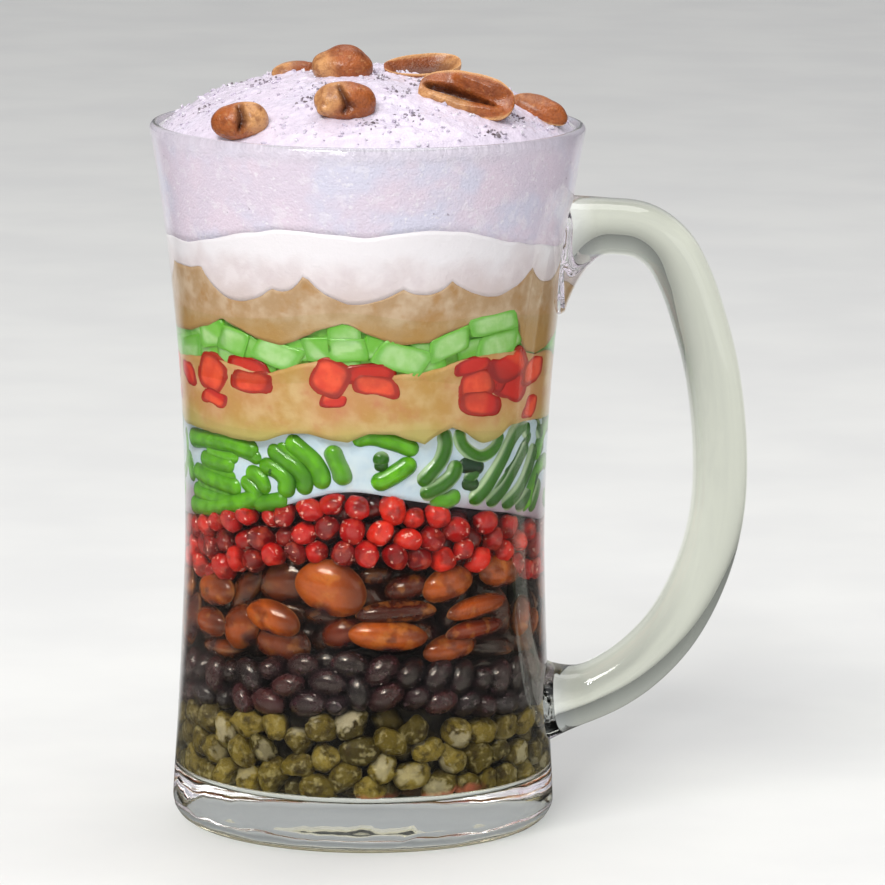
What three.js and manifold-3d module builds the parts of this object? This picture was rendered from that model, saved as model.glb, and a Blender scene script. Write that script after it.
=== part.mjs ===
// Mixed bean che: a layered dessert of beans, jelly, bean paste, coconut cream and shaved ice,
// served in a tall flared glass mug with one handle, and topped with roasted peanuts.
// Millimetres, +Z up. The origin is the centre of the mug's foot, on the table.
// The handle points along +X, and the side that faces the viewer looks along -Y.
// Angles round the mug start at that front side and grow towards the handle.
import * as THREE from "three";
import { mergeVertices } from "three/addons/utils/BufferGeometryUtils.js";
import Module from "manifold-3d";

const wasm = await Module();
wasm.setup();

// Driving dimensions of the mug
const mugHeight = 150;
const waistHeight = 62;
const waistRadius = 38.4;
const rimFlare = 8;
const footFlare = 2.8;
const footCorner = 5;
const wallAtRim = 2.4;
const wallGain = 1;
const floorHeight = 10.5;
const floorCorner = 3;
const rimBevel = 0.4;
const handleWidth = 15.5;
const handleThickness = 11;
const handleCrown = 0.7;
const handleRoundness = 0.78;

// Where each arm of the handle meets the glass: how far out it starts to swell, and by how much on
// the hand's side, on the far side and sideways
const filletReach = 11;
const upperFillet = { start: 41, inwards: 13.4, outwards: 0.7, sideways: 2.4 };
const lowerFillet = { start: 39, inwards: 3, outwards: 2.4, sideways: 2.4 };

// Gaps that keep touching pieces apart
const wallGap = 0.45;
const layerGap = 0.3;

// Facets round the glass, round the layers inside it, and round the cores that pieces are fused to
const glassFacets = 38;
const layerFacets = 42;
const coreFacets = 20;
const iceFacets = 30;
const fullTurn = Math.PI * 2;
const degree = Math.PI / 180;

// The heights where one layer ends and the next begins. At the glass each boundary is wavy: bow is
// how far it rises towards the front and the back and sinks towards the sides, wave is its smaller
// swing either way, and lobes how many of those swings it makes round the mug.
const levels = {
  floor: { height: floorHeight + wallGap, bow: 0, wave: 0, lobes: 1, phase: 0 },
  blackBeans: { height: 27.7, bow: 2, wave: 0.9, lobes: 5, phase: 0.4 },
  kidneyBeans: { height: 39.4, bow: 2.1, wave: 0.9, lobes: 4, phase: 2.1 },
  rubySeeds: { height: 57.7, bow: 3.7, wave: 0.9, lobes: 5, phase: 3.6 },
  pandanJelly: { height: 71, bow: 4.7, wave: 0.9, lobes: 6, phase: 1.9 },
  lowerPaste: { height: 87.8, bow: 0, wave: 1, lobes: 4, phase: 0.6 },
  greenJelly: { height: 101.7, bow: 1.7, wave: 0.7, lobes: 5, phase: 0.9 },
  upperPaste: { height: 109.6, bow: 1.5, wave: 0.9, lobes: 6, phase: 2.6 },
  coconutCream: { height: 118.6, bow: 0.9, wave: 2.5, lobes: 9, phase: 4.1 },
  shavedIce: { height: 129, bow: 3, wave: 0.9, lobes: 6, phase: 4.2 },
};

// Sizes of the small pieces: length, width and thickness
const mungBean = { length: 7.4, width: 6.1 };
const blackBean = { length: 9.8, width: 6.5, thickness: 6, bend: 0.12 };
const kidneyBean = { length: 15.5, width: 8, thickness: 7, bend: 0.22 };
const rubySeed = { length: 6.9, width: 5.6 };
const strandRadius = 2.3;
const jellyCube = { length: 8.8, width: 5.6, thickness: 6 };
const redCube = { length: 7.6, width: 5.2, thickness: 7.6 };

// The mound of ice above the rim
const moundHeight = 12.3;
const moundRadius = 44;
const moundFullness = 2.3;
const iceEdgeHeight = 149.4;

// A repeatable number from 0 to 1: the choice-th one made for piece number n
function chance(n, choice) {
  const value = Math.sin(n * 12.9898 + choice * 78.233) * 43758.5453;
  return value - Math.floor(value);
}

// A repeatable number from -1 to 1
function swing(n, choice) {
  return chance(n, choice) * 2 - 1;
}

// The mug's outer radius at a height: a waist that flares to the rim and a little to the foot
function outerRadius(height) {
  const up = Math.max(0, (height - waistHeight) / (mugHeight - waistHeight));
  const down = Math.max(0, (waistHeight - height) / waistHeight);
  return waistRadius + rimFlare * up ** 2 + footFlare * down ** 1.4;
}

// The radius of the inside at a height, with the rounded corner at its floor
function innerRadius(height) {
  const wall = wallAtRim + wallGain * (1 - height / mugHeight);
  const below = Math.min(floorCorner, Math.max(0, floorHeight + floorCorner - height));
  const corner = floorCorner - Math.sqrt(floorCorner ** 2 - below ** 2);
  return outerRadius(height) - wall - corner;
}

function contentRadius(height) {
  return innerRadius(height) - wallGap;
}

// The height of a boundary at the glass, and part of the way in, where it flattens
function levelAt(level, angle, share = 1) {
  const rise = level.bow * Math.cos(2 * angle);
  const broad = 0.75 * Math.sin(level.lobes * angle + level.phase);
  const fine = 0.25 * Math.sin((level.lobes + 3) * angle - 1.7 * level.phase);
  return level.height + share * (rise + level.wave * (broad + fine));
}

function onRing(angle, radius, height) {
  return new THREE.Vector3(radius * Math.sin(angle), -radius * Math.cos(angle), height);
}

// Helpers that turn three.js geometry into solids and back

function solidOf(geometry) {
  const bare = geometry.index ? geometry.toNonIndexed() : geometry.clone();
  bare.deleteAttribute("normal");
  bare.deleteAttribute("uv");
  const merged = mergeVertices(bare, 1e-4);
  const corners = merged.index.array;
  const kept = [];
  for (let i = 0; i < corners.length; i += 3) {
    const [a, b, c] = corners.slice(i, i + 3);
    if (a !== b && b !== c && a !== c) kept.push(a, b, c);
  }
  const vertProperties = merged.attributes.position.array;
  let triVerts = new Uint32Array(kept);
  let made = new wasm.Manifold(new wasm.Mesh({ numProp: 3, vertProperties, triVerts }));
  if (made.volume() < 0) {
    triVerts = triVerts.reverse();
    made = new wasm.Manifold(new wasm.Mesh({ numProp: 3, vertProperties, triVerts }));
  }
  return made;
}

// Joins many solids into one, and drops loose scraps and sealed hollows
function fuse(solids) {
  let joined = solids[0];
  for (const next of solids.slice(1)) joined = joined.add(next);
  return largestOf(joined);
}

function largestOf(solid) {
  return solid.decompose().reduce((best, one) => (one.volume() > best.volume() ? one : best));
}

function geometryOf(solid) {
  const mesh = solid.getMesh();
  const geometry = new THREE.BufferGeometry();
  geometry.setAttribute("position", new THREE.BufferAttribute(mesh.vertProperties, 3));
  geometry.setIndex(new THREE.BufferAttribute(mesh.triVerts, 1));
  geometry.computeVertexNormals();
  return geometry;
}

// A closed skin over rings of equal length, with a fan to a point at each end
function skin(rings, firstPoint, lastPoint) {
  const count = rings[0].length;
  const points = [firstPoint, ...rings.flat(), lastPoint];
  const index = [];
  const corner = (ring, i) => 1 + ring * count + (i % count);
  for (let i = 0; i < count; i++) {
    index.push(0, corner(0, i + 1), corner(0, i));
    index.push(points.length - 1, corner(rings.length - 1, i), corner(rings.length - 1, i + 1));
    for (let ring = 0; ring < rings.length - 1; ring++) {
      index.push(corner(ring, i), corner(ring, i + 1), corner(ring + 1, i));
      index.push(corner(ring, i + 1), corner(ring + 1, i + 1), corner(ring + 1, i));
    }
  }
  return new THREE.BufferGeometry().setFromPoints(points).setIndex(index);
}

function ringOf(count, pointAt) {
  return Array.from({ length: count }, (_, i) => pointAt((i * fullTurn) / count));
}

// The glass mug: the heights of its rings, the steps of its rounded corners, and how far above the
// rim the cut for its inside runs
const outsideHeights = [32, 62, 92, 116, 134];
const insideHeights = [40, 68, 96, 122];
const cornerSteps = 2;
const cutClearance = 5;

function lathe(profile) {
  const geometry = new THREE.LatheGeometry(
    profile.map(([radius, height]) => new THREE.Vector2(radius, height)),
    glassFacets,
  );
  return solidOf(geometry.rotateX(Math.PI / 2));
}

function mugOutside() {
  const profile = [[0, 0]];
  for (let i = 0; i <= cornerSteps; i++) {
    const turn = (i / cornerSteps) * (Math.PI / 2);
    const inset = footCorner * (1 - Math.sin(turn));
    const height = footCorner * (1 - Math.cos(turn));
    profile.push([outerRadius(footCorner) - inset, height]);
  }
  const lipRadius = wallAtRim / 2;
  for (const height of [...outsideHeights, mugHeight - lipRadius]) {
    profile.push([outerRadius(height), height]);
  }
  profile.push([outerRadius(mugHeight) - lipRadius, mugHeight]);
  profile.push([0, mugHeight]);
  return lathe(profile);
}

function mugInside() {
  const profile = [[0, floorHeight]];
  for (let i = 0; i <= cornerSteps; i++) {
    const height = floorHeight + floorCorner * (1 - Math.cos((i / cornerSteps) * (Math.PI / 2)));
    profile.push([innerRadius(height), height]);
  }
  for (const height of [...insideHeights, mugHeight - wallAtRim / 2]) {
    profile.push([innerRadius(height), height]);
  }
  const mouth = innerRadius(mugHeight) + wallAtRim * rimBevel;
  profile.push([mouth, mugHeight], [mouth, mugHeight + cutClearance], [0, mugHeight + cutClearance]);
  return lathe(profile);
}

// The handle's centreline in the XZ plane, from inside the upper wall to inside the lower wall
const handlePath = new THREE.CatmullRomCurve3(
  [
    [33, 127.4],
    [43, 128],
    [51, 128],
    [58.2, 127.1],
    [63.5, 123.4],
    [67.2, 117.2],
    [70.5, 108],
    [73.4, 96.8],
    [75.2, 81],
    [74.8, 67],
    [71.7, 54.2],
    [65.6, 42],
    [57.6, 33.4],
    [49, 28.2],
    [41.5, 26.3],
    [33, 25.4],
  ].map(([x, z]) => new THREE.Vector3(x, 0, z)),
  false,
  "centripetal",
);

// How far the handle reaches from its centreline: towards the hand's gap, away from it, and sideways
function handleReach(point) {
  const fillet = point.z > waistHeight ? upperFillet : lowerFillet;
  const fromWall = Math.max(0, point.x - fillet.start);
  const swell = Math.max(0, 1 - fromWall / filletReach) ** 2;
  const half = handleThickness / 2;
  return {
    inwards: half + fillet.inwards * swell,
    outwards: half + handleCrown + fillet.outwards * swell,
    sideways: handleWidth / 2 + fillet.sideways * swell,
  };
}

function handleSolid() {
  const steps = 24;
  const sides = 10;
  const rounded = (value) => Math.sign(value) * Math.abs(value) ** handleRoundness;
  const rings = [];
  for (let i = 0; i <= steps; i++) {
    const share = 0.5 - 0.5 * Math.cos((Math.PI * i) / steps);
    const middle = handlePath.getPointAt(share);
    const along = handlePath.getTangentAt(share);
    const outwards = new THREE.Vector3(-along.z, 0, along.x);
    const reach = handleReach(middle);
    rings.push(
      ringOf(sides, (turn) => {
        const across = rounded(Math.cos(turn));
        const depth = across > 0 ? reach.outwards : reach.inwards;
        const point = middle.clone().addScaledVector(outwards, across * depth);
        return point.add(new THREE.Vector3(0, rounded(Math.sin(turn)) * reach.sideways, 0));
      }),
    );
  }
  return solidOf(skin(rings, handlePath.getPointAt(0), handlePath.getPointAt(1)));
}

function glassMug() {
  return largestOf(mugOutside().add(handleSolid()).subtract(mugInside()));
}

// A layer between two boundaries. A core for pieces stands back by recess, and has fewer facets.
function layerSolid(bottom, top, recess = 0) {
  const facets = recess ? coreFacets : layerFacets;
  const ringAt = (level, lift) =>
    ringOf(facets, (angle) => {
      const height = levelAt(level, angle) + lift;
      const radius = contentRadius(height) - recess;
      const share = radius / contentRadius(height);
      return onRing(angle, radius, levelAt(level, angle, share) + lift);
    });
  const low = recess ? 2 * layerGap : layerGap / 2;
  const rings = [ringAt(bottom, low), ringAt(top, -low)];
  const middle = (level, lift) => new THREE.Vector3(0, 0, level.height + lift);
  return solidOf(skin(rings, middle(bottom, low), middle(top, -low)));
}

// The axes of a piece that lies against the glass: along it, across it and out of the mug
function atGlass(angle, radius, height, tilt, roll = 0) {
  const around = new THREE.Vector3(Math.cos(angle), Math.sin(angle), 0);
  const up = new THREE.Vector3(0, 0, 1);
  const out = new THREE.Vector3(Math.sin(angle), -Math.cos(angle), 0);
  const turned = new THREE.Matrix4().makeBasis(around, up, out);
  turned.multiply(new THREE.Matrix4().makeRotationZ(tilt));
  turned.multiply(new THREE.Matrix4().makeRotationX(roll));
  return turned.setPosition(onRing(angle, radius, height));
}

// A bean with few sides: a squashed ball, bent towards its hollow side
function beanSolid(size, place) {
  const sides = 5;
  const bands = 3;
  const ball = new THREE.SphereGeometry(0.5, sides, bands).rotateZ(Math.PI / 2);
  const position = ball.attributes.position;
  for (let i = 0; i < position.count; i++) {
    const along = position.getX(i);
    const across = position.getY(i) + size.bend * (0.25 - 4 * along ** 2 * 0.5);
    position.setXYZ(i, along * size.length, across * size.width, position.getZ(i) * size.thickness);
  }
  return solidOf(ball.applyMatrix4(place));
}

// The middles of small pieces in staggered rows between two boundaries, each a little out of line
function staggeredRows({ bottom, top, rows, perRow, size, seed }) {
  const half = size.width / 2;
  return Array.from({ length: rows }, (_, row) =>
    Array.from({ length: perRow }, (_, i) => {
      const n = seed + row * perRow + i;
      const angle = ((i + 0.5 * (row % 2) + 0.2 * swing(n, 1)) / perRow) * fullTurn;
      const share = Math.min(1, Math.max(0, (row + 0.18 * swing(n, 2)) / (rows - 1)));
      const low = levelAt(bottom, angle) + layerGap + half;
      const high = levelAt(top, angle) - layerGap - half;
      const height = low + (high - low) * share;
      return { n, angle, height, scale: 1 + 0.12 * swing(n, 3), tilt: 0.5 * swing(n, 4) };
    }),
  );
}

// The middle of three pieces that lie round one gap
function gapBetween(...pieces) {
  const first = pieces[0].angle;
  let turn = 0;
  let height = 0;
  for (const piece of pieces) {
    const apart = piece.angle - first;
    turn += (apart - fullTurn * Math.round(apart / fullTurn)) / pieces.length;
    height += piece.height / pieces.length;
  }
  return { angle: first + turn, height };
}

// How far apart the pieces of a row lie, as a share of their length
const spacing = 1.15;

// A heap of pieces too many to fuse one by one. Each shows as a bump of its own size, and the
// bumps meet in valleys: six corners round each piece, a shoulder inside them and a crown.
function bumpyHeap(heap) {
  const { bottom, top, rows, size, recess } = heap;
  const perRow = Math.floor((fullTurn * contentRadius(bottom.height)) / (size.length * spacing));
  const pieces = staggeredRows({ ...heap, perRow });
  const at = (row, i) => pieces[row][(i + perRow) % perRow];
  // Right of an even row's piece i, the row above has its piece i, and above an odd row's, i + 1
  const above = (row, i) => i + (row % 2);
  const points = [];
  const place = ({ angle, height }, depth) => {
    points.push(onRing(angle, contentRadius(height) - depth, height));
    return points.length - 1;
  };
  const ringNumbers = (make) => Array.from({ length: perRow }, (_, i) => make(i));
  const table = (count, make) =>
    Array.from({ length: count }, (_, row) => ringNumbers((i) => make(row, i)));
  const wrap = (ring, i) => ring[(i + perRow) % perRow];
  const gapsUp = table(rows - 1, (row, i) =>
    place(gapBetween(at(row, i), at(row, i + 1), at(row + 1, above(row, i))), recess),
  );
  const gapsDown = table(rows - 1, (row, i) => {
    const j = above(row, i);
    return place(gapBetween(at(row + 1, j), at(row + 1, j + 1), at(row, i + 1)), recess);
  });
  const edge = (level, lift, row) => {
    const height = (angle) => levelAt(level, angle, 0.93) + lift;
    return {
      under: ringNumbers((i) => place({ angle: at(row, i).angle, height: height(at(row, i).angle) }, recess)),
      between: ringNumbers((i) => {
        const { angle } = gapBetween(at(row, i), at(row, i + 1));
        return place({ angle, height: height(angle) }, recess);
      }),
    };
  };
  const foot = edge(bottom, layerGap, 0);
  const head = edge(top, -layerGap, rows - 1);
  const faces = [];
  for (let row = 0; row < rows; row++) {
    for (let i = 0; i < perRow; i++) {
      const corners = [];
      const below = row % 2 ? i : i - 1;
      if (row === 0) corners.push(wrap(foot.between, i - 1), foot.under[i], foot.between[i]);
      else {
        corners.push(wrap(gapsDown[row - 1], below - 1), wrap(gapsUp[row - 1], below));
        corners.push(wrap(gapsDown[row - 1], below));
      }
      if (row === rows - 1) corners.push(head.between[i], head.under[i], wrap(head.between, i - 1));
      else corners.push(gapsUp[row][i], wrap(gapsDown[row], i - 1), wrap(gapsUp[row], i - 1));
      const piece = pieces[row][i];
      const middle = onRing(piece.angle, contentRadius(piece.height), piece.height);
      const crown = place(piece, 0.1 * Math.abs(swing(piece.n, 5)));
      const shoulder = corners.map((corner) => {
        const point = points[corner].clone().lerp(middle, 0.4);
        const depth = Math.hypot(point.x, point.y) / (contentRadius(point.z) - recess * 0.28);
        points.push(new THREE.Vector3(point.x / depth, point.y / depth, point.z));
        return points.length - 1;
      });
      corners.forEach((corner, k) => {
        const next = (k + 1) % corners.length;
        faces.push(corner, corners[next], shoulder[k], corners[next], shoulder[next], shoulder[k]);
        faces.push(shoulder[k], shoulder[next], crown);
      });
    }
  }
  const middles = [bottom.height + layerGap, top.height - layerGap].map((height) => {
    points.push(new THREE.Vector3(0, 0, height));
    return points.length - 1;
  });
  for (let i = 0; i < perRow; i++) {
    const before = (ring) => wrap(ring, i - 1);
    faces.push(middles[0], foot.under[i], before(foot.between), middles[0], foot.between[i], foot.under[i]);
    faces.push(middles[1], before(head.between), head.under[i], middles[1], head.under[i], head.between[i]);
  }
  return solidOf(new THREE.BufferGeometry().setFromPoints(points).setIndex(faces));
}

const mungHeap = {
  bottom: levels.floor,
  top: levels.blackBeans,
  rows: 4,
  size: mungBean,
  seed: 100,
  recess: 2.6,
};

const rubyHeap = {
  bottom: levels.rubySeeds,
  top: levels.pandanJelly,
  rows: 3,
  size: rubySeed,
  seed: 500,
  recess: 2.4,
};

// A tilted piece moved as far as it needs to stay between two boundaries, and made smaller where
// they come too close. tall is half of its own upright size as it lies.
function settled(bottom, top, piece, tall) {
  const reach = ((piece.size.length / 2) * Math.cos(piece.tilt)) / contentRadius(piece.height);
  const spots = [-0.9, -0.45, 0, 0.45, 0.9].map((share) => piece.angle + share * reach);
  const floor = Math.max(...spots.map((spot) => levelAt(bottom, spot))) + 2 * layerGap;
  const ceiling = Math.min(...spots.map((spot) => levelAt(top, spot))) - 2 * layerGap;
  const scale = Math.min(1, (ceiling - floor) / 2 / tall);
  const height = Math.min(ceiling - scale * tall, Math.max(floor + scale * tall, piece.height));
  return { ...piece, height, size: resized(piece.size, scale) };
}

function resized(size, scale) {
  return { ...size, length: size.length * scale, width: size.width * scale };
}

// Whole beans fused to a core that stands back from the glass
function beanHeap(bottom, top, beans, recess) {
  const solids = beans.map((bean) => {
    const { length, width, bend } = bean.size;
    const halfWidth = (0.5 + 0.2 * bend) * width;
    const tall = Math.hypot((length / 2) * Math.sin(bean.tilt), halfWidth * Math.cos(bean.tilt));
    const { size, height } = settled(bottom, top, bean, tall);
    const radius = contentRadius(height) - size.thickness / 2;
    return beanSolid(size, atGlass(bean.angle, radius, height, bean.tilt));
  });
  return fuse([layerSolid(bottom, top, recess), ...solids]);
}

function blackBeans() {
  const { blackBeans: bottom, kidneyBeans: top } = levels;
  const rows = staggeredRows({ bottom, top, rows: 2, perRow: 18, size: blackBean, seed: 300 });
  const beans = rows.flat().map((bean) => ({
    ...bean,
    tilt: 0.6 * bean.tilt,
    size: resized(blackBean, 0.92 * bean.scale),
  }));
  return beanHeap(bottom, top, beans, 3);
}

// The kidney beans that show at the front: degrees round from the front, height, length, width
// and tilt in degrees. The broad one right of the middle lies flat against the glass.
const frontKidneyBeans = [
  [-62, 52.3, 13, 7.5, 8],
  [-31, 55.7, 12, 10.5, -30],
  [-11, 55.8, 15.5, 12, -14],
  [14, 56.6, 11, 7, 20],
  [34, 55.4, 11.5, 7.5, 14],
  [57, 53, 13, 7.6, -6],
  [-66, 44.6, 11.5, 6.6, 4],
  [-48, 45.4, 11, 9, 50],
  [-33, 48.4, 13, 7.6, -12],
  [-27, 44.4, 13, 5.6, -6],
  [-7, 46.3, 9, 6.6, 24],
  [12, 50.9, 17, 5.4, 3],
  [11, 45.7, 17.5, 6.6, -4],
  [47, 48.4, 15.5, 5, 6],
  [46, 43.4, 14, 4.6, 3],
  [32, 45.3, 9, 6, 6],
];

function kidneyBeans() {
  const { kidneyBeans: bottom, rubySeeds: top } = levels;
  const shown = frontKidneyBeans.map(([turn, height, length, width, tilt]) => ({
    angle: turn * degree,
    height,
    tilt: tilt * degree,
    size: { length, width, thickness: Math.min(width, kidneyBean.thickness), bend: kidneyBean.bend },
  }));
  const frontHalf = 74 * degree;
  const rest = staggeredRows({ bottom, top, rows: 2, perRow: 13, size: kidneyBean, seed: 700 })
    .flat()
    .filter((piece) => Math.cos(piece.angle) < Math.cos(frontHalf))
    .map((piece) => ({ ...piece, tilt: 0.5 * piece.tilt, size: resized(kidneyBean, piece.scale) }));
  return beanHeap(bottom, top, [...shown, ...rest], 3.4);
}

// One strand of pandan jelly: a worm that curls along the glass
function strandSolid(path, radius) {
  const sides = 5;
  const curve = new THREE.CatmullRomCurve3(path);
  const steps = 5;
  const rings = [];
  for (let i = 1; i < steps; i++) {
    const share = i / steps;
    const middle = curve.getPointAt(share);
    const along = curve.getTangentAt(share);
    const out = new THREE.Vector3(middle.x, middle.y, 0).normalize();
    const across = new THREE.Vector3().crossVectors(along, out).normalize();
    const taper = Math.min(1, 0.62 + 0.38 * Math.sin(share * Math.PI) * 2);
    rings.push(
      ringOf(sides, (turn) =>
        middle
          .clone()
          .addScaledVector(across, Math.cos(turn) * radius * taper)
          .addScaledVector(out, Math.sin(turn) * radius * taper),
      ),
    );
  }
  return solidOf(skin(rings, path[0], path[path.length - 1]));
}

// Where a strand runs: it starts at an angle and height, sets off with a heading and curls as it goes
function strandPath({ angle, height, heading, curl, length }) {
  const { pandanJelly: bottom, lowerPaste: top } = levels;
  const steps = 8;
  const radius = contentRadius(height) - strandRadius - 0.1;
  let turn = heading;
  let around = angle;
  let up = height;
  const path = [];
  for (let i = 0; i <= steps; i++) {
    const low = levelAt(bottom, around) + strandRadius + 2 * layerGap;
    const high = levelAt(top, around) - strandRadius - 2 * layerGap;
    up = Math.min(high, Math.max(low, up));
    path.push(onRing(around, radius, up));
    around += (Math.cos(turn) * length) / steps / radius;
    up += (Math.sin(turn) * length) / steps;
    turn += curl / steps;
  }
  return path;
}

function pandanJelly() {
  const { pandanJelly: bottom, lowerPaste: top } = levels;
  const columns = 9;
  const strands = [];
  for (let i = 0; i < columns * 2; i++) {
    const column = Math.floor(i / 2);
    const upper = i % 2 === 1;
    const angle = ((column + 0.5 * (i % 2) + 0.15 * swing(i, 11)) / columns) * fullTurn;
    const height = upper ? top.height - 3.4 : bottom.height + 3.2;
    const heading = (upper ? -0.35 : 0.5) + 0.5 * swing(i, 12);
    const curl = (upper ? -2.6 : 2.4) * (0.75 + 0.35 * swing(i, 13));
    const length = 19 + 4 * swing(i, 14);
    strands.push(strandSolid(strandPath({ angle, height, heading, curl, length }), strandRadius));
  }
  return fuse([layerSolid(bottom, top, 2.6), ...strands]);
}

// A cut cube of jelly. Its outer face follows the glass, a little way in from it.
function cubeSolid(size, angle, height, tilt, grow = 0) {
  const half = size.length / 2;
  const inset = half ** 2 / (2 * contentRadius(height));
  const radius = contentRadius(height - 2) - size.thickness / 2 - inset;
  const box = new THREE.BoxGeometry(size.length + grow, size.width + grow, size.thickness + grow);
  return solidOf(box.applyMatrix4(atGlass(angle, radius, height, tilt)));
}

function greenCubes() {
  const { greenJelly: bottom, upperPaste: top } = levels;
  const count = 23;
  return Array.from({ length: count }, (_, i) => {
    const angle = ((i + 0.2 * swing(i, 21)) / count) * fullTurn;
    const tilt = (i % 2 ? -0.18 : 0.14) + 0.1 * swing(i, 23);
    const size = resized(jellyCube, 1 + 0.1 * swing(i, 24));
    const tall = (size.length / 2) * Math.abs(Math.sin(tilt)) + (size.width / 2) * Math.cos(tilt);
    const height = (bottom.height + top.height) / 2 + 1.4 * swing(i, 22);
    return settled(bottom, top, { angle, tilt, size, height }, tall);
  });
}

function greenJelly() {
  const cubes = greenCubes().map((cube) => cubeSolid(cube.size, cube.angle, cube.height, cube.tilt));
  return fuse([layerSolid(levels.greenJelly, levels.upperPaste, 1.6), ...cubes]);
}

// Red jelly shows as small groups of cubes under the green: degrees round, depth below it, tilt
const redGroup = [
  [-5.5, 3.4, 12],
  [6, 4, -10],
  [-4, 8.2, 4],
];
const fullRedGroup = [
  [-7, 3.6, 10],
  [5, 3, -6],
  [15, 4.6, 30],
  [-4, 8, -4],
  [10, 8.6, 60],
];
const redGroupTurns = [-50, -6, 124, 212];
const fullRedGroupTurn = 46;

function redCubes() {
  const cubes = [];
  const addGroup = (turn, group) => {
    for (const [aside, depth, tilt] of group) {
      const n = 900 + cubes.length;
      const angle = (turn + aside) * degree;
      const scale = 1 + 0.1 * swing(n, 1);
      const size = { ...redCube, length: redCube.length * scale, width: redCube.width * scale };
      cubes.push({ angle, height: levelAt(levels.greenJelly, angle) - depth, tilt: tilt * degree, size });
    }
  };
  for (const turn of redGroupTurns) addGroup(turn, redGroup);
  addGroup(fullRedGroupTurn, fullRedGroup);
  return cubes;
}

// The red jelly's core, seen from the green jelly's level: where its top and its foot are, how far
// it stands back from the glass, and how far above the paste the cut for it runs
const redCore = { top: 2.2, foot: 10, recess: 6.2, cutAbove: 3 };

// The red jelly's own heap in the middle of the mug, grown by a margin to cut its place in the paste
function redJellySolid(grow) {
  const cubes = redCubes().map((cube) => cubeSolid(cube.size, cube.angle, cube.height, cube.tilt, grow));
  const level = levels.greenJelly.height;
  const radius = contentRadius(level) - redCore.recess + grow / 2;
  const top = grow ? level + redCore.cutAbove : level - redCore.top;
  const bottom = level - redCore.foot - grow / 2;
  const core = new THREE.CylinderGeometry(radius, radius, top - bottom, 12).rotateX(Math.PI / 2);
  return fuse([solidOf(core.translate(0, 0, (top + bottom) / 2)), ...cubes]);
}

function lowerPaste() {
  const paste = layerSolid(levels.lowerPaste, levels.greenJelly);
  return largestOf(paste.subtract(redJellySolid(2 * wallGap)));
}

// Peanuts on the ice. x, y and lift place each one, lift from the mound's surface. Turn is degrees
// round the vertical, lean raises its far end, and roll turns it about its own length.
const peanuts = [
  { x: -15.8, y: 2, lift: 0.1, size: [9.6, 7, 3], turn: 12, lean: 4, roll: 0, half: true },
  { x: -5.3, y: -8.5, lift: 2.2, size: [12.6, 9.8, 8.8], turn: -20, lean: -6, roll: 10 },
  { x: -4.4, y: -31.5, lift: 2, size: [12.6, 9.2, 8.4], turn: 24, lean: 4, roll: -12 },
  { x: -26.2, y: -31.4, lift: 2.4, size: [12, 8.6, 7.6], turn: 8, lean: 6, roll: 30 },
  { x: 11.6, y: -5, lift: 3, size: [16.2, 8.8, 4.4], turn: 4, lean: 4, roll: -158, half: true },
  { x: 20.6, y: -23, lift: 2.8, size: [20.4, 10.4, 5], turn: -12, lean: -9, roll: -120, half: true },
  { x: 36, y: -9, lift: 0.9, size: [12.6, 7.2, 3.2], turn: -12, lean: -20, roll: 20, half: true },
  { x: -12, y: 35, lift: -0.2, size: [13, 8.6, 3.6], turn: 20, lean: -3, roll: -20, half: true },
  { x: 18, y: 32.5, lift: -0.4, size: [12.6, 8.6, 7], turn: -35, lean: 3, roll: -18 },
];

function moundAt(x, y) {
  const share = Math.min(1, Math.hypot(x, y) / moundRadius);
  return iceEdgeHeight + moundHeight * (1 - share ** moundFullness);
}

// A kernel as rings along its length. A half has a dished inner face; a whole one a shallow seam.
function peanutSolid(nut, grow = 0) {
  const rings = [];
  const bands = 5;
  const sides = 8;
  const [length, width, height] = nut.size;
  const tall = nut.half ? height : height / 2;
  const tip = (length + grow) / 2;
  for (let band = 1; band < bands; band++) {
    const along = -Math.cos((band / bands) * Math.PI);
    const girth = (1 - along ** 2) ** 0.4 * (1 + 0.1 * along);
    rings.push(
      ringOf(sides, (turn) => {
        const side = Math.cos(turn);
        const above = Math.sin(turn);
        const dished = nut.half && above < 0;
        const seam = nut.half ? 1 : 1 - 0.1 * Math.max(0, above) ** 6;
        const rise = dished ? above * 0.16 + 0.1 * (1 - side ** 2) : above * seam;
        return new THREE.Vector3(
          along * tip,
          (side * girth * (width + grow)) / 2,
          rise * girth * (tall + grow / 2) - (dished ? grow / 2 : 0),
        );
      }),
    );
  }
  const body = skin(rings, new THREE.Vector3(-tip, 0, 0), new THREE.Vector3(tip, 0, 0));
  const turned = new THREE.Matrix4().makeRotationZ(nut.turn * degree);
  turned.multiply(new THREE.Matrix4().makeRotationY(-nut.lean * degree));
  turned.multiply(new THREE.Matrix4().makeRotationX(nut.roll * degree));
  turned.setPosition(nut.x, nut.y, moundAt(nut.x, nut.y) + nut.lift);
  return solidOf(body.applyMatrix4(turned));
}

const peanutGap = 1.3;

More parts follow.
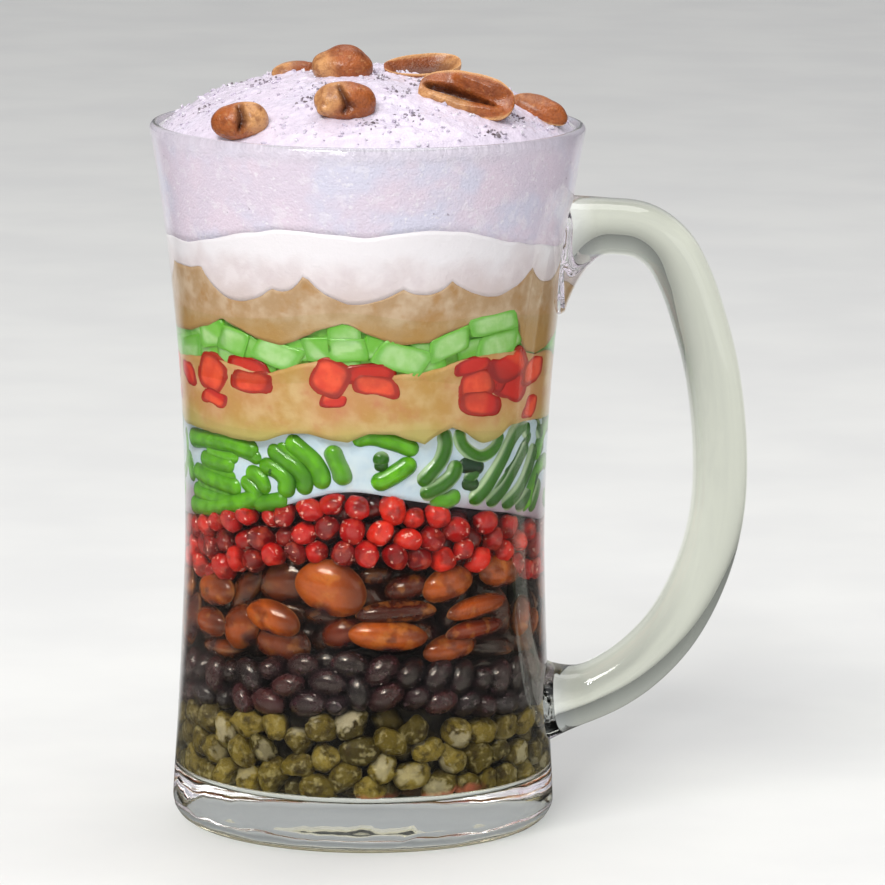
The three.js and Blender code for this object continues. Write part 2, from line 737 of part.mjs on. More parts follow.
// Shaved ice: it fills the flared top of the mug and heaps above the rim, with a rough surface
function shavedIce() {
  const bottom = levels.shavedIce;
  const rings = [
    ringOf(iceFacets, (angle) => {
      const height = levelAt(bottom, angle) + layerGap;
      return onRing(angle, contentRadius(height), height);
    }),
    ringOf(iceFacets, (angle) => onRing(angle, contentRadius(mugHeight - 9), mugHeight - 9)),
    ringOf(iceFacets, (angle) => onRing(angle, contentRadius(mugHeight - 2), mugHeight - 2)),
  ];
  const moundRings = 4;
  for (let i = 0; i < moundRings; i++) {
    const radius = (contentRadius(mugHeight) - 0.8) * (1 - i / moundRings);
    rings.push(
      ringOf(iceFacets, (angle) => {
        const n = 2000 + i * iceFacets + Math.round((angle / fullTurn) * iceFacets);
        const rough = i ? 0.7 * swing(n, 1) : 0;
        return onRing(angle, radius, moundAt(radius, 0) + rough * (radius / moundRadius + 0.2));
      }),
    );
  }
  const top = new THREE.Vector3(0, 0, moundAt(0, 0));
  const low = new THREE.Vector3(0, 0, bottom.height + layerGap);
  let ice = solidOf(skin(rings, low, top));
  for (const nut of peanuts) ice = ice.subtract(peanutSolid(nut, peanutGap));
  return largestOf(ice);
}

// The finishes, by sub-part
const finishes = {
  glass: { color: 0xdfe8e2, roughness: 0.05, metalness: 0, transparent: true, opacity: 0.35 },
  mung: { color: 0x6f6a2e, roughness: 0.5, metalness: 0 },
  black: { color: 0x2a191f, roughness: 0.25, metalness: 0 },
  kidney: { color: 0x8f4a1e, roughness: 0.25, metalness: 0 },
  ruby: { color: 0xa31c18, roughness: 0.15, metalness: 0 },
  pandan: { color: 0x4f9a22, roughness: 0.3, metalness: 0 },
  lowerPaste: { color: 0xcf9f62, roughness: 0.6, metalness: 0 },
  redJelly: { color: 0xd02b14, roughness: 0.15, metalness: 0 },
  greenJelly: { color: 0x7cc35a, roughness: 0.2, metalness: 0 },
  upperPaste: { color: 0xbf9d78, roughness: 0.6, metalness: 0 },
  cream: { color: 0xece6ea, roughness: 0.5, metalness: 0 },
  ice: { color: 0xe2dcec, roughness: 0.4, metalness: 0 },
  peanut: { color: 0xb8773a, roughness: 0.45, metalness: 0 },
};

function meshOf(name, solid, finish) {
  const mesh = new THREE.Mesh(geometryOf(solid), new THREE.MeshStandardMaterial(finishes[finish]));
  mesh.name = name;
  return mesh;
}

const che = new THREE.Group();
che.add(meshOf("glass_mug", glassMug(), "glass"));
che.add(meshOf("mung_beans", bumpyHeap(mungHeap), "mung"));
che.add(meshOf("black_beans", blackBeans(), "black"));
che.add(meshOf("kidney_beans", kidneyBeans(), "kidney"));
che.add(meshOf("ruby_seeds", bumpyHeap(rubyHeap), "ruby"));
che.add(meshOf("pandan_jelly", pandanJelly(), "pandan"));
che.add(meshOf("lower_bean_paste", lowerPaste(), "lowerPaste"));
che.add(meshOf("red_jelly", redJellySolid(0), "redJelly"));
che.add(meshOf("green_jelly", greenJelly(), "greenJelly"));
che.add(meshOf("upper_bean_paste", layerSolid(levels.upperPaste, levels.coconutCream), "upperPaste"));
che.add(meshOf("coconut_cream", layerSolid(levels.coconutCream, levels.shavedIce), "cream"));
che.add(meshOf("shaved_ice", shavedIce(), "ice"));
peanuts.forEach((nut, i) => che.add(meshOf(`peanut_${i + 1}`, peanutSolid(nut), "peanut")));

export default che;
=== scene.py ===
"""The looks of a mixed bean che in its glass mug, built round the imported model.

Shapes are worked out in millimetres and become metres when a mesh is made, in the part's own
frame: +Z up, the origin at the middle of the mug's foot, the handle along +X and the front
along -Y. Angles round the mug are in radians, start at the front and grow towards the handle.
"""

import logging
import math
from collections.abc import Callable
from dataclasses import dataclass, field, replace
from enum import Enum
from functools import cache
from itertools import product
from typing import Protocol

import bmesh
import bpy
import numpy as np
from mathutils import Matrix, Vector


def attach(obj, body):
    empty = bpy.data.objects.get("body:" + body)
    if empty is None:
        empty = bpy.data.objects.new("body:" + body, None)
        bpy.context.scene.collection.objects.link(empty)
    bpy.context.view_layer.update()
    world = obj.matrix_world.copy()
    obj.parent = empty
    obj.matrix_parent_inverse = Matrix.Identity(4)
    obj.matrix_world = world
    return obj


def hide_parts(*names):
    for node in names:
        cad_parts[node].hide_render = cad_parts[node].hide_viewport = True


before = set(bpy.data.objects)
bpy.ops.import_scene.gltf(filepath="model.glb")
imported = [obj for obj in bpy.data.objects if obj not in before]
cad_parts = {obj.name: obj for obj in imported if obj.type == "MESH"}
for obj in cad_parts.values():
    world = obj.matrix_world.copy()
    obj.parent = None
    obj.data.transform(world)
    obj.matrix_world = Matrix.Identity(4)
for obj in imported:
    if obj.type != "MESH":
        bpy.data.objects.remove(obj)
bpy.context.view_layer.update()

log = logging.getLogger("bean_che")

Array = np.ndarray
Colour = tuple[float, float, float, float]

MM = 0.001
FULL_TURN = 2 * math.pi
UP = np.array([0.0, 0.0, 1.0])


# Arithmetic that several pieces share


def srgb(red: int, green: int, blue: int) -> Colour:
    """Turns a colour given as 0 to 255 for the screen into the linear values that shaders take.

    Args:
        red: The red share, 0 to 255.
        green: The green share, 0 to 255.
        blue: The blue share, 0 to 255.

    Returns:
        The linear red, green and blue, and 1 for opaque.
    """
    shares = [part / 255 for part in (red, green, blue)]
    linear = [s / 12.92 if s <= 0.04045 else ((s + 0.055) / 1.055) ** 2.4 for s in shares]
    return (linear[0], linear[1], linear[2], 1.0)


def cell_values(cells: Array, seed: float) -> Array:
    """Gives each cell of a grid a repeatable number.

    Args:
        cells: Whole-number cell positions, n by 3.
        seed: Picks another set of numbers.

    Returns:
        One number from 0 to 1 for each cell.
    """
    mixed = np.sin(cells @ np.array([12.9898, 78.233, 37.719]) + seed * 4.137) * 43758.5453
    return mixed - np.floor(mixed)


def soft_noise(points: Array, size: float, seed: float = 0.0, octaves: int = 3) -> Array:
    """Smooth noise over points.

    Args:
        points: Where to read it, n by 3.
        size: How far apart its broadest bumps are.
        seed: Picks another pattern.
        octaves: How many finer layers it has, each half as broad and half as strong.

    Returns:
        One value from about -1 to 1 for each point.
    """
    total = np.zeros(len(points))
    strength = 1.0
    strengths = 0.0
    for octave in range(octaves):
        spots = points / size * 2**octave
        base = np.floor(spots)
        ease = (spots - base) ** 2 * (3 - 2 * (spots - base))
        for corner in product((0, 1), repeat=3):
            share = np.prod(np.where(np.array(corner) == 1, ease, 1 - ease), axis=1)
            total += strength * share * (2 * cell_values(base + corner, seed + octave) - 1)
        strengths += strength
        strength /= 2
    return total / strengths


def grain_noise(points: Array, size: float, seed: float = 0.0) -> Array:
    """The pattern of packed grains over points.

    Args:
        points: Where to read it, n by 3.
        size: The grains' breadth.
        seed: Picks another pattern.

    Returns:
        For each point how far it is from its grain's border, 0 at the border and about 1 inside.
    """
    spots = points / size
    base = np.floor(spots)
    nearest = np.full(len(points), 9.0)
    second = np.full(len(points), 9.0)
    for step in product((-1, 0, 1), repeat=3):
        cell = base + step
        middle = cell + np.stack([cell_values(cell, seed + axis) for axis in range(3)], axis=1)
        distance = np.linalg.norm(spots - middle, axis=1)
        second = np.minimum(second, np.maximum(distance, nearest))
        nearest = np.minimum(nearest, distance)
    return second - nearest


def on_ring(angle: Array, radius: Array, height: Array) -> Array:
    """Points at angles round the mug, radii and heights, stacked along the last axis."""
    return np.stack(np.broadcast_arrays(radius * np.sin(angle), -radius * np.cos(angle), height), axis=-1)


def ring_angles(count: int) -> Array:
    """Even angles round a whole turn, a number of them."""
    return np.arange(count) * FULL_TURN / count


def angle_of(points: Array) -> Array:
    """The angles round the mug at which points lie."""
    return np.arctan2(points[..., 0], -points[..., 1])


def turned(axis: str, degrees: float) -> Array:
    """A 3 by 3 turn about the x, y or z axis."""
    return np.array(Matrix.Rotation(math.radians(degrees), 3, axis.upper()))


def turns_for(spins: Array) -> Array:
    """Turns that go with small spin vectors.

    Args:
        spins: Axis times angle for each piece, n by 3.

    Returns:
        The turns, n by 3 by 3.
    """
    angle = np.linalg.norm(spins, axis=1)[:, None, None] + 1e-12
    axis = spins[:, :, None] / angle
    x, y, z = axis[:, 0, 0], axis[:, 1, 0], axis[:, 2, 0]
    none = np.zeros_like(x)
    cross = np.stack([none, -z, y, z, none, -x, -y, x, none], axis=1).reshape(-1, 3, 3)
    return np.eye(3) + np.sin(angle) * cross + (1 - np.cos(angle)) * cross @ cross


# Meshes as arrays


@dataclass
class Shape:
    """A mesh as arrays: points in millimetres, triangles, and marks that its material reads."""

    points: Array
    faces: Array
    marks: dict[str, Array] = field(default_factory=dict)

    def marked(self, **marks: Array | float) -> "Shape":
        """Adds marks.

        Args:
            marks: One number for each point, or one for all, by the mark's name.

        Returns:
            This shape.
        """
        for name, values in marks.items():
            self.marks[name] = np.broadcast_to(np.asarray(values, float), len(self.points)).copy()
        return self

    def placed(self, turn: Array, place: Array) -> "Shape":
        """A copy that is turned and then moved."""
        return Shape(self.points @ turn.T + place, self.faces, self.marks)


def joined(shapes: list[Shape]) -> Shape:
    """One shape of many, with the marks that the first one has.

    Args:
        shapes: The shapes to join.

    Returns:
        The joined shape.
    """
    starts = np.cumsum([0] + [len(shape.points) for shape in shapes[:-1]])
    points = np.concatenate([shape.points for shape in shapes])
    faces = np.concatenate([shape.faces + start for shape, start in zip(shapes, starts)])
    marks = {name: np.concatenate([s.marks[name] for s in shapes]) for name in shapes[0].marks}
    return Shape(points, faces, marks)


def skin(rings: Array, first: Array, last: Array) -> Shape:
    """A closed skin over rings, with a fan to a point at each end.

    Args:
        rings: Rings of points, rows by columns by 3.
        first: The point before the first ring.
        last: The point after the last ring.

    Returns:
        The shape, facing out when rings run up and points run anticlockwise from above.
    """
    rows, columns = rings.shape[:2]
    points = np.concatenate([rings.reshape(-1, 3), first[None], last[None]])
    around = np.arange(columns)
    after = (around + 1) % columns
    row = np.arange(rows - 1)[:, None] * columns
    here, beside = (row + around).ravel(), (row + after).ravel()
    end = np.full(columns, rows * columns)
    top = (rows - 1) * columns
    corners = (
        (here, beside, beside + columns), (here, beside + columns, here + columns),
        (end, after, around), (end + 1, around + top, after + top),
    )
    return Shape(points, np.concatenate([np.stack(corner, axis=1) for corner in corners]))


def taken_from(made: bmesh.types.BMesh) -> Shape:
    """The shape of a Blender working mesh, which is freed."""
    points = np.array([vertex.co for vertex in made.verts])
    faces = np.array([[vertex.index for vertex in face.verts] for face in made.faces])
    made.free()
    return Shape(points, faces)


@cache
def ball(detail: int) -> Shape:
    """A ball of radius 1, made of 20 triangles that are divided detail - 1 times."""
    made = bmesh.new()
    bmesh.ops.create_icosphere(made, subdivisions=detail, radius=1.0)
    return taken_from(made)


@cache
def cube_shell(cells: int) -> Shape:
    """A cube of half size 1 whose edges are cut into a number of cells."""
    made = bmesh.new()
    bmesh.ops.create_cube(made, size=2.0)
    bmesh.ops.subdivide_edges(made, edges=made.edges[:], cuts=cells - 1, use_grid_fill=True)
    bmesh.ops.triangulate(made, faces=made.faces[:])
    return taken_from(made)


def make_object(name: str, shape: Shape, smooth: bool = True) -> bpy.types.Object:
    """Makes a Blender mesh object of a shape.

    Args:
        name: The object's name.
        shape: The shape, in millimetres.
        smooth: If the faces are shaded smooth.

    Returns:
        The object, linked to the scene.
    """
    mesh = bpy.data.meshes.new(name)
    mesh.from_pydata((shape.points * MM).tolist(), [], shape.faces.tolist())
    for mark, values in shape.marks.items():
        attribute = mesh.attributes.new(mark, "FLOAT", "POINT")
        attribute.data.foreach_set("value", values.astype(np.float32))
    mesh.polygons.foreach_set("use_smooth", np.full(len(mesh.polygons), smooth))
    mesh.update()
    made = bpy.data.objects.new(name, mesh)
    bpy.context.scene.collection.objects.link(made)
    return made


def dress(made: bpy.types.Object, material: bpy.types.Material, slot: str, *nodes: str) -> None:
    """Gives a piece its material and its place in the frame.

    Args:
        made: The piece.
        material: Its material.
        slot: The record's slot for its finish; not used.
        nodes: The solids that it stands for.
    """
    made.data.materials.append(material)
    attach(made, "root")
    if nodes:
        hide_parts(*nodes)
    log.info("%s: %d triangles, %s finish", made.name, len(made.data.polygons), material.name)


# The mug's form and the layers inside it


@dataclass(frozen=True)
class MugForm:
    """The sizes of the mug's body, which the layers inside it follow, in millimetres."""

    height: float = 150.0
    waist_height: float = 62.0
    waist_radius: float = 38.4
    rim_flare: float = 8.0
    foot_flare: float = 2.8
    foot_corner: float = 5.0
    wall_at_rim: float = 2.4
    wall_gain: float = 1.0
    floor_height: float = 10.5
    floor_corner: float = 3.0

    def outer_radius(self, height: Array) -> Array:
        """The outer radius at a height: a waist that flares to the rim and a little to the foot."""
        up = np.maximum(0, (height - self.waist_height) / (self.height - self.waist_height))
        down = np.maximum(0, (self.waist_height - height) / self.waist_height)
        return self.waist_radius + self.rim_flare * up**2 + self.foot_flare * down**1.4

    def inner_radius(self, height: Array) -> Array:
        """The radius of the inside at a height, with the rounded corner at its floor."""
        wall = self.wall_at_rim + self.wall_gain * (1 - height / self.height)
        below = np.clip(self.floor_height + self.floor_corner - height, 0, self.floor_corner)
        corner = self.floor_corner - np.sqrt(self.floor_corner**2 - below**2)
        return self.outer_radius(height) - wall - corner

    def inset(self, points: Array) -> Array:
        """How far in from the inside of the glass points are."""
        return self.inner_radius(points[..., 2]) - np.hypot(points[..., 0], points[..., 1])


MUG = MugForm()


class Line(Protocol):
    """Any line round the mug that a layer can end at."""

    def at(self, angle: Array, share: Array | float = 1.0) -> Array:
        """The height at an angle, for a share of the way from the axis to the glass."""


@dataclass(frozen=True)
class Boundary:
    """A wavy boundary between two layers.

    It rises by the bow towards the front and back and sinks towards the sides. Its smaller waves
    make a number of lobes round the mug, which start at the phase.
    """

    height: float
    bow: float = 0.0
    wave: float = 0.0
    lobes: int = 1
    phase: float = 0.0

    def at(self, angle: Array, share: Array | float = 1.0) -> Array:
        """The height at an angle, for a share of the way from the axis to the glass."""
        broad = 0.75 * np.sin(self.lobes * angle + self.phase)
        fine = 0.25 * np.sin((self.lobes + 3) * angle - 1.7 * self.phase)
        return self.height + share * (self.bow * np.cos(2 * angle) + self.wave * (broad + fine))


class Edge(Enum):
    """The boundaries between the layers, from the floor up."""

    FLOOR = Boundary(10.95)
    BLACK = Boundary(27.7, 2.0, 0.9, 5, 0.4)
    KIDNEY = Boundary(39.4, 2.1, 0.9, 4, 2.1)
    RUBY = Boundary(57.7, 3.7, 0.9, 5, 3.6)
    PANDAN = Boundary(71.0, 4.7, 0.9, 6, 1.9)
    LOWER_PASTE = Boundary(87.8, 0.0, 1.0, 4, 0.6)
    GREEN = Boundary(101.7, 1.7, 0.7, 5, 0.9)
    UPPER_PASTE = Boundary(109.6, 1.5, 0.9, 6, 2.6)
    ICE = Boundary(129.0, 3.0, 0.9, 6, 4.2)

    def at(self, angle: Array, share: Array | float = 1.0) -> Array:
        """The height at an angle, for a share of the way from the axis to the glass."""
        return self.value.at(angle, share)


# Node trees

Inputs = dict[str | int, object]
Socket = bpy.types.NodeSocket


class Nodes:
    """Adds nodes to a tree, emptied first, and links them in short calls."""

    def __init__(self, tree: bpy.types.NodeTree) -> None:
        """Clears and holds the tree."""
        self.tree = tree
        tree.nodes.clear()

    def add(self, kind: str, inputs: Inputs | None = None, **settings: object) -> bpy.types.Node:
        """Adds a node.

        Args:
            kind: The node's type name, without its ShaderNode part.
            inputs: A value or another node's output for each named or numbered input.
            settings: The node's own settings.

        Returns:
            The node.
        """
        node = self.tree.nodes.new(kind if kind.startswith("Node") else "ShaderNode" + kind)
        for name, value in settings.items():
            setattr(node, name, value)
        for name, value in (inputs or {}).items():
            if isinstance(value, Socket):
                self.tree.links.new(value, node.inputs[name])
            else:
                node.inputs[name].default_value = value
        return node

    def math(self, operation: str, *values: object) -> Socket:
        """The output of a Math node on the values given."""
        return self.add("Math", dict(enumerate(values)), operation=operation).outputs[0]

    def part(self, value: Socket, share: float) -> Socket:
        """A share of a value."""
        return value if share == 1 else self.math("MULTIPLY", value, share)

    def mix(self, share: object, first: object, second: object) -> Socket:
        """A colour mixed from two, with the share of the second."""
        node = self.add("Mix", {0: share, 6: first, 7: second}, data_type="RGBA", clamp_factor=True)
        return node.outputs[2]

    def coated(self, colour: object, *coats: tuple[object, object]) -> Socket:
        """A colour with others laid over it.

        Args:
            colour: The lowest colour.
            coats: The share and the colour of each coat, from the lowest up.

        Returns:
            The mixed colour.
        """
        for share, coat in coats:
            colour = self.mix(share, colour, coat)
        return colour

    def ramp(self, value: Socket, stops: list[tuple[float, Colour]]) -> Socket:
        """A colour read from a ramp.

        Args:
            value: The output that says where on the ramp.
            stops: The ramp's places and colours.

        Returns:
            The colour's output.
        """
        node = self.add("ValToRGB", {0: value})
        elements = node.color_ramp.elements
        while len(elements) < len(stops):
            elements.new(0.5)
        for element, (place, colour) in zip(elements, stops):
            element.position = place
            element.color = colour
        return node.outputs[0]

    def span(self, value: object, low: object, high: object, first: float = 0.0, last: float = 1.0) -> Socket:
        """A value spread from one range to another, eased at both ends."""
        inputs = {"Value": value, "From Min": low, "From Max": high, "To Min": first, "To Max": last}
        return self.add("MapRange", inputs, interpolation_type="SMOOTHSTEP").outputs[0]

    def mark(self, name: str, share: float = 1.0) -> Socket:
        """The numbers that a mesh carries under a name, or a share of them."""
        node = self.add("Attribute", attribute_name=name, attribute_type="GEOMETRY")
        return self.part(node.outputs["Fac"], share)

    def place(self) -> Socket:
        """The place on the surface, in metres."""
        return self.add("TexCoord").outputs["Object"]

    def axis(self, way: Socket, name: str) -> Socket:
        """The X, Y or Z part of a place or way."""
        return self.add("SeparateXYZ", {0: way}).outputs[name]

    def noise(self, size: object, detail: float, shift: Socket | None = None) -> Socket:
        """Noise whose bumps have a size in metres, in four dimensions where it can be shifted."""
        scale = self.math("DIVIDE", 1.0, size)
        inputs = {"Vector": self.place(), "Scale": scale, "Detail": detail}
        if shift is None:
            return self.add("TexNoise", inputs).outputs["Fac"]
        return self.add("TexNoise", {**inputs, "W": shift}, noise_dimensions="4D").outputs["Fac"]


def new_group(
    name: str, inputs: dict[str, object], outputs: dict[str, str]
) -> tuple[Nodes, dict[str, Socket]]:
    """Starts a node group.

    Args:
        name: The group's name.
        inputs: Each input's default, a number or a colour.
        outputs: Each output's kind, Float or Color.

    Returns:
        The nodes to build it with, and its inputs by name.
    """
    tree = bpy.data.node_groups.new(name, "ShaderNodeTree")
    nodes = Nodes(tree)
    for label, default in inputs.items():
        kind = "NodeSocketColor" if isinstance(default, tuple) else "NodeSocketFloat"
        tree.interface.new_socket(label, in_out="INPUT", socket_type=kind).default_value = default
    for label, kind in outputs.items():
        tree.interface.new_socket(label, in_out="OUTPUT", socket_type="NodeSocket" + kind)
    return nodes, nodes.add("NodeGroupInput").outputs


class Effects:
    """The node groups that several finishes share, each built once."""

    def __init__(self) -> None:
        """Builds every group."""
        self.mottle = self._mottle()
        self.relief = self._relief()
        self.stock = self._stock()
        self.rise = self._rise()

    def _mottle(self) -> bpy.types.NodeTree:
        """Soft patches: a mask of noise at a size, with its contrast set by two levels."""
        inputs = {"Size": 0.002, "Low": 0.4, "High": 0.6, "Shift": 0.0}
        nodes, given = new_group("soft_patches", inputs, {"Mask": "Float"})
        noise = nodes.noise(given["Size"], 3.0, given["Shift"])
        nodes.add("NodeGroupOutput", {"Mask": nodes.span(noise, given["Low"], given["High"])})
        return nodes.tree

    def _relief(self) -> bpy.types.NodeTree:
        """Fine relief: broad bumps and small grains as a height."""
        inputs = {"Bump Size": 0.002, "Grain Size": 0.0004, "Grain Share": 0.3}
        nodes, given = new_group("fine_relief", inputs, {"Height": "Float"})
        scale = nodes.math("DIVIDE", 1.0, given["Grain Size"])
        grains = nodes.add("TexVoronoi", {"Vector": nodes.place(), "Scale": scale}, feature="SMOOTH_F1")
        fine = nodes.math("MULTIPLY", grains.outputs["Distance"], given["Grain Share"])
        height = nodes.math("SUBTRACT", nodes.noise(given["Bump Size"], 3.0), fine)
        nodes.add("NodeGroupOutput", {"Height": height})
        return nodes.tree

    def _stock(self) -> bpy.types.NodeTree:
        """The colour of one piece of many: picked between three by the piece's own tint."""
        inputs = {"Dark": srgb(60, 50, 40), "Middle": srgb(120, 100, 80), "Light": srgb(180, 160, 140)}
        nodes, given = new_group("stock_colour", inputs, {"Colour": "Color", "Tint": "Float"})
        tint = nodes.mark("tint")
        lower, upper = nodes.span(tint, 0.0, 0.5), nodes.span(tint, 0.5, 1.0)
        colour = nodes.coated(given["Dark"], (lower, given["Middle"]), (upper, given["Light"]))
        nodes.add("NodeGroupOutput", {"Colour": colour, "Tint": tint})
        return nodes.tree

    def _rise(self) -> bpy.types.NodeTree:
        """A mask that grows from 0 to 1 between two heights, with a wobbling edge."""
        inputs = {"Low": 0.0, "High": 0.1, "Wobble": 0.002, "Size": 0.008}
        nodes, given = new_group("rise_with_height", inputs, {"Mask": "Float"})
        swing = nodes.math("SUBTRACT", nodes.noise(given["Size"], 2.0), 0.5)
        reach = nodes.math("MULTIPLY", given["Wobble"], 4.0)
        moved = nodes.math("MULTIPLY_ADD", swing, reach, nodes.axis(nodes.place(), "Z"))
        nodes.add("NodeGroupOutput", {"Mask": nodes.span(moved, given["Low"], given["High"])})
        return nodes.tree


EFFECTS = Effects()


def mottle(
    nodes: Nodes, size: float, low: float = 0.4, high: float = 0.6, shift: float = 0.0, share: float = 1.0
) -> Socket:
    """A share of the mask of the soft patches group, for patches of a size in millimetres."""
    given = {"Size": size * MM, "Low": low, "High": high, "Shift": shift}
    return nodes.part(nodes.add("Group", given, node_tree=EFFECTS.mottle).outputs["Mask"], share)


def rise(nodes: Nodes, span: tuple[float, float], wobble: float, size: float) -> Socket:
    """The mask of the rise group between two heights, with its wobble and its size in millimetres."""
    given = {"Low": span[0] * MM, "High": span[1] * MM, "Wobble": wobble * MM, "Size": size * MM}
    return nodes.add("Group", given, node_tree=EFFECTS.rise).outputs["Mask"]


def relief(nodes: Nodes, depth: float, bump: float, grain: float, share: float = 0.3) -> Socket:
    """A bumped normal.

    Args:
        nodes: The material's nodes.
        depth: How deep the relief is, in millimetres.
        bump: The breadth of its bumps, in millimetres.
        grain: The breadth of its grains, in millimetres.
        share: The grains' share of the depth.

    Returns:
        The normal's output.
    """
    given = {"Bump Size": bump * MM, "Grain Size": grain * MM, "Grain Share": share}
    height = nodes.add("Group", given, node_tree=EFFECTS.relief).outputs["Height"]
    return nodes.add("Bump", {"Height": height, "Distance": depth * MM}).outputs["Normal"]


# Finishes


@dataclass(frozen=True)
class Finish:
    """A finish with a name: one Principled shader on the surface."""

    name: str

    def material(self) -> bpy.types.Material:
        """Builds the material."""
        material = bpy.data.materials.new(self.name)
        material.use_nodes = True
        nodes = Nodes(material.node_tree)
        shader = nodes.add("BsdfPrincipled", self.look(nodes))
        nodes.add("OutputMaterial", {"Surface": self.end(nodes, shader.outputs[0])})
        return material

    def look(self, nodes: Nodes) -> Inputs:
        """The shader's inputs."""
        raise NotImplementedError

    def end(self, nodes: Nodes, shader: Socket) -> Socket:
        """What goes to the surface."""
        return shader


@dataclass(frozen=True)
class ClearFinish(Finish):
    """Glass or liquid that lamps and scattered light pass straight through.

    The tint is what light takes on each crossing. The handle may take an arm tint instead, and
    tints at heights in millimetres may take its place. Shine is how strongly it mirrors face on.
    """

    bending: float
    tint: Colour
    shine: float = 1.0
    arm_tint: Colour | None = None
    tints: tuple[tuple[float, Colour], ...] = ()

    def look(self, nodes: Nodes) -> Inputs:
        """The shader's inputs."""
        tint: object = self.tint
        if self.tints:
            low = self.tints[0][0]
            reach = self.tints[-1][0] - low
            above = nodes.math("SUBTRACT", nodes.axis(nodes.place(), "Z"), low * MM)
            share = nodes.math("DIVIDE", above, reach * MM)
            tint = nodes.ramp(share, [((level - low) / reach, colour) for level, colour in self.tints])
        if self.arm_tint:
            tint = nodes.mix(nodes.mark("arm"), tint, self.arm_tint)
        return {
            "Base Color": tint,
            "IOR": self.bending,
            "Roughness": 0.0,
            "Specular Tint": (self.shine, self.shine, self.shine, 1.0),
            "Transmission Weight": 1.0,
        }

    def end(self, nodes: Nodes, shader: Socket) -> Socket:
        """What goes to the surface: plain clear for shadow and diffuse rays."""
        clear = nodes.add("BsdfTransparent", {"Color": (0.97, 0.98, 0.97, 1.0)}).outputs[0]
        path = nodes.add("LightPath").outputs
        for ray in ("Is Shadow Ray", "Is Diffuse Ray"):
            shader = nodes.add("MixShader", {0: path[ray], 1: shader, 2: clear}).outputs[0]
        return shader


@dataclass(frozen=True)
class StockFinish(Finish):
    """The finish of beans and seeds: each piece its own tint, with mottling, wet gloss and relief.

    Sizes are in millimetres. Patch is the pale mottling and shade the dark one. Gash is what split
    skins and eyes take. Rim is a painted highlight along a flat bean's rim, and the blush at a
    heap's foot. Far is the painted shade that parts deep inside fade to, and painted glints are
    pale specks that stand in for glints.
    """

    dark: Colour
    middle: Colour
    light: Colour
    patch: Colour
    shade: Colour
    patch_size: float
    patch_share: float
    shade_share: float
    gash: Colour
    rim: Colour
    far: Colour
    roughness: float
    coat: float
    depth: float
    streaks_and_side_shade: bool = False
    coat_roughness: float = 0.07
    coat_bending: float = 1.5
    painted_glint: Colour | None = None
    painted_glint_share: float = 0.8

    def streak_and_shade_mask(self, nodes: Nodes, tint: Socket) -> Socket:
        """The mask of the painted shade on one side of each piece and of the fine lines along it."""
        along, across = nodes.mark("along"), nodes.mark("across")
        spot = {0: nodes.part(along, 1.4), 1: nodes.part(across, 8.0), 2: nodes.part(tint, 40.0)}
        spot = nodes.add("CombineXYZ", spot).outputs[0]
        lines = nodes.add("TexNoise", {"Vector": spot, "Scale": 1.6, "Detail": 4.0}).outputs["Fac"]
        lines = nodes.part(nodes.span(lines, 0.5, 0.74), 0.3)
        # Painted shade: one side of each piece darker than the other.
        side = nodes.math("MULTIPLY_ADD", across, 0.6, along)
        return nodes.math("MAXIMUM", lines, nodes.span(side, -0.2, 0.9))

    def look(self, nodes: Nodes) -> Inputs:
        """The shader's inputs."""
        tints = {"Dark": self.dark, "Middle": self.middle, "Light": self.light}
        stock = nodes.add("Group", tints, node_tree=EFFECTS.stock).outputs
        deep = mottle(nodes, self.patch_size * 1.5, 0.46, 0.66, 4.0)
        if self.streaks_and_side_shade:
            deep = nodes.math("MAXIMUM", deep, self.streak_and_shade_mask(nodes, stock["Tint"]))
        colour = nodes.coated(
            stock["Colour"],
            (nodes.part(deep, self.shade_share), self.shade),
            (mottle(nodes, self.patch_size, 0.5, 0.68, share=self.patch_share), self.patch),
            (mottle(nodes, 0.42, 0.5, 0.7, 3.0, 0.3), self.shade),
            # The rim mark is a painted highlight on flat beans, and the blush at a heap's foot.
            (nodes.mark("rim", 0.6), self.rim),
            (nodes.mark("edge"), self.gash),
        )
        # Painted glints: pale specks that stand in for glints of light.
        if self.painted_glint:
            colour = nodes.mix(mottle(nodes, 1.15, 0.62, 0.68, 31.0, self.painted_glint_share), colour, self.painted_glint)
        wet = mottle(nodes, 1.3, 0.3, 0.7, 7.0)
        return {
            # Painted shade: parts marked deep fade to the far colour.
            "Base Color": nodes.mix(nodes.mark("deep", 0.92), colour, self.far),
            "Roughness": nodes.span(wet, 0.0, 1.0, self.roughness * 0.7, self.roughness * 1.3),
            "Coat Weight": self.coat,
            "Coat Roughness": self.coat_roughness,
            "Coat IOR": self.coat_bending,
            "Specular IOR Level": 0.08,
            "Normal": relief(nodes, self.depth, 1.1, 0.5),
        }


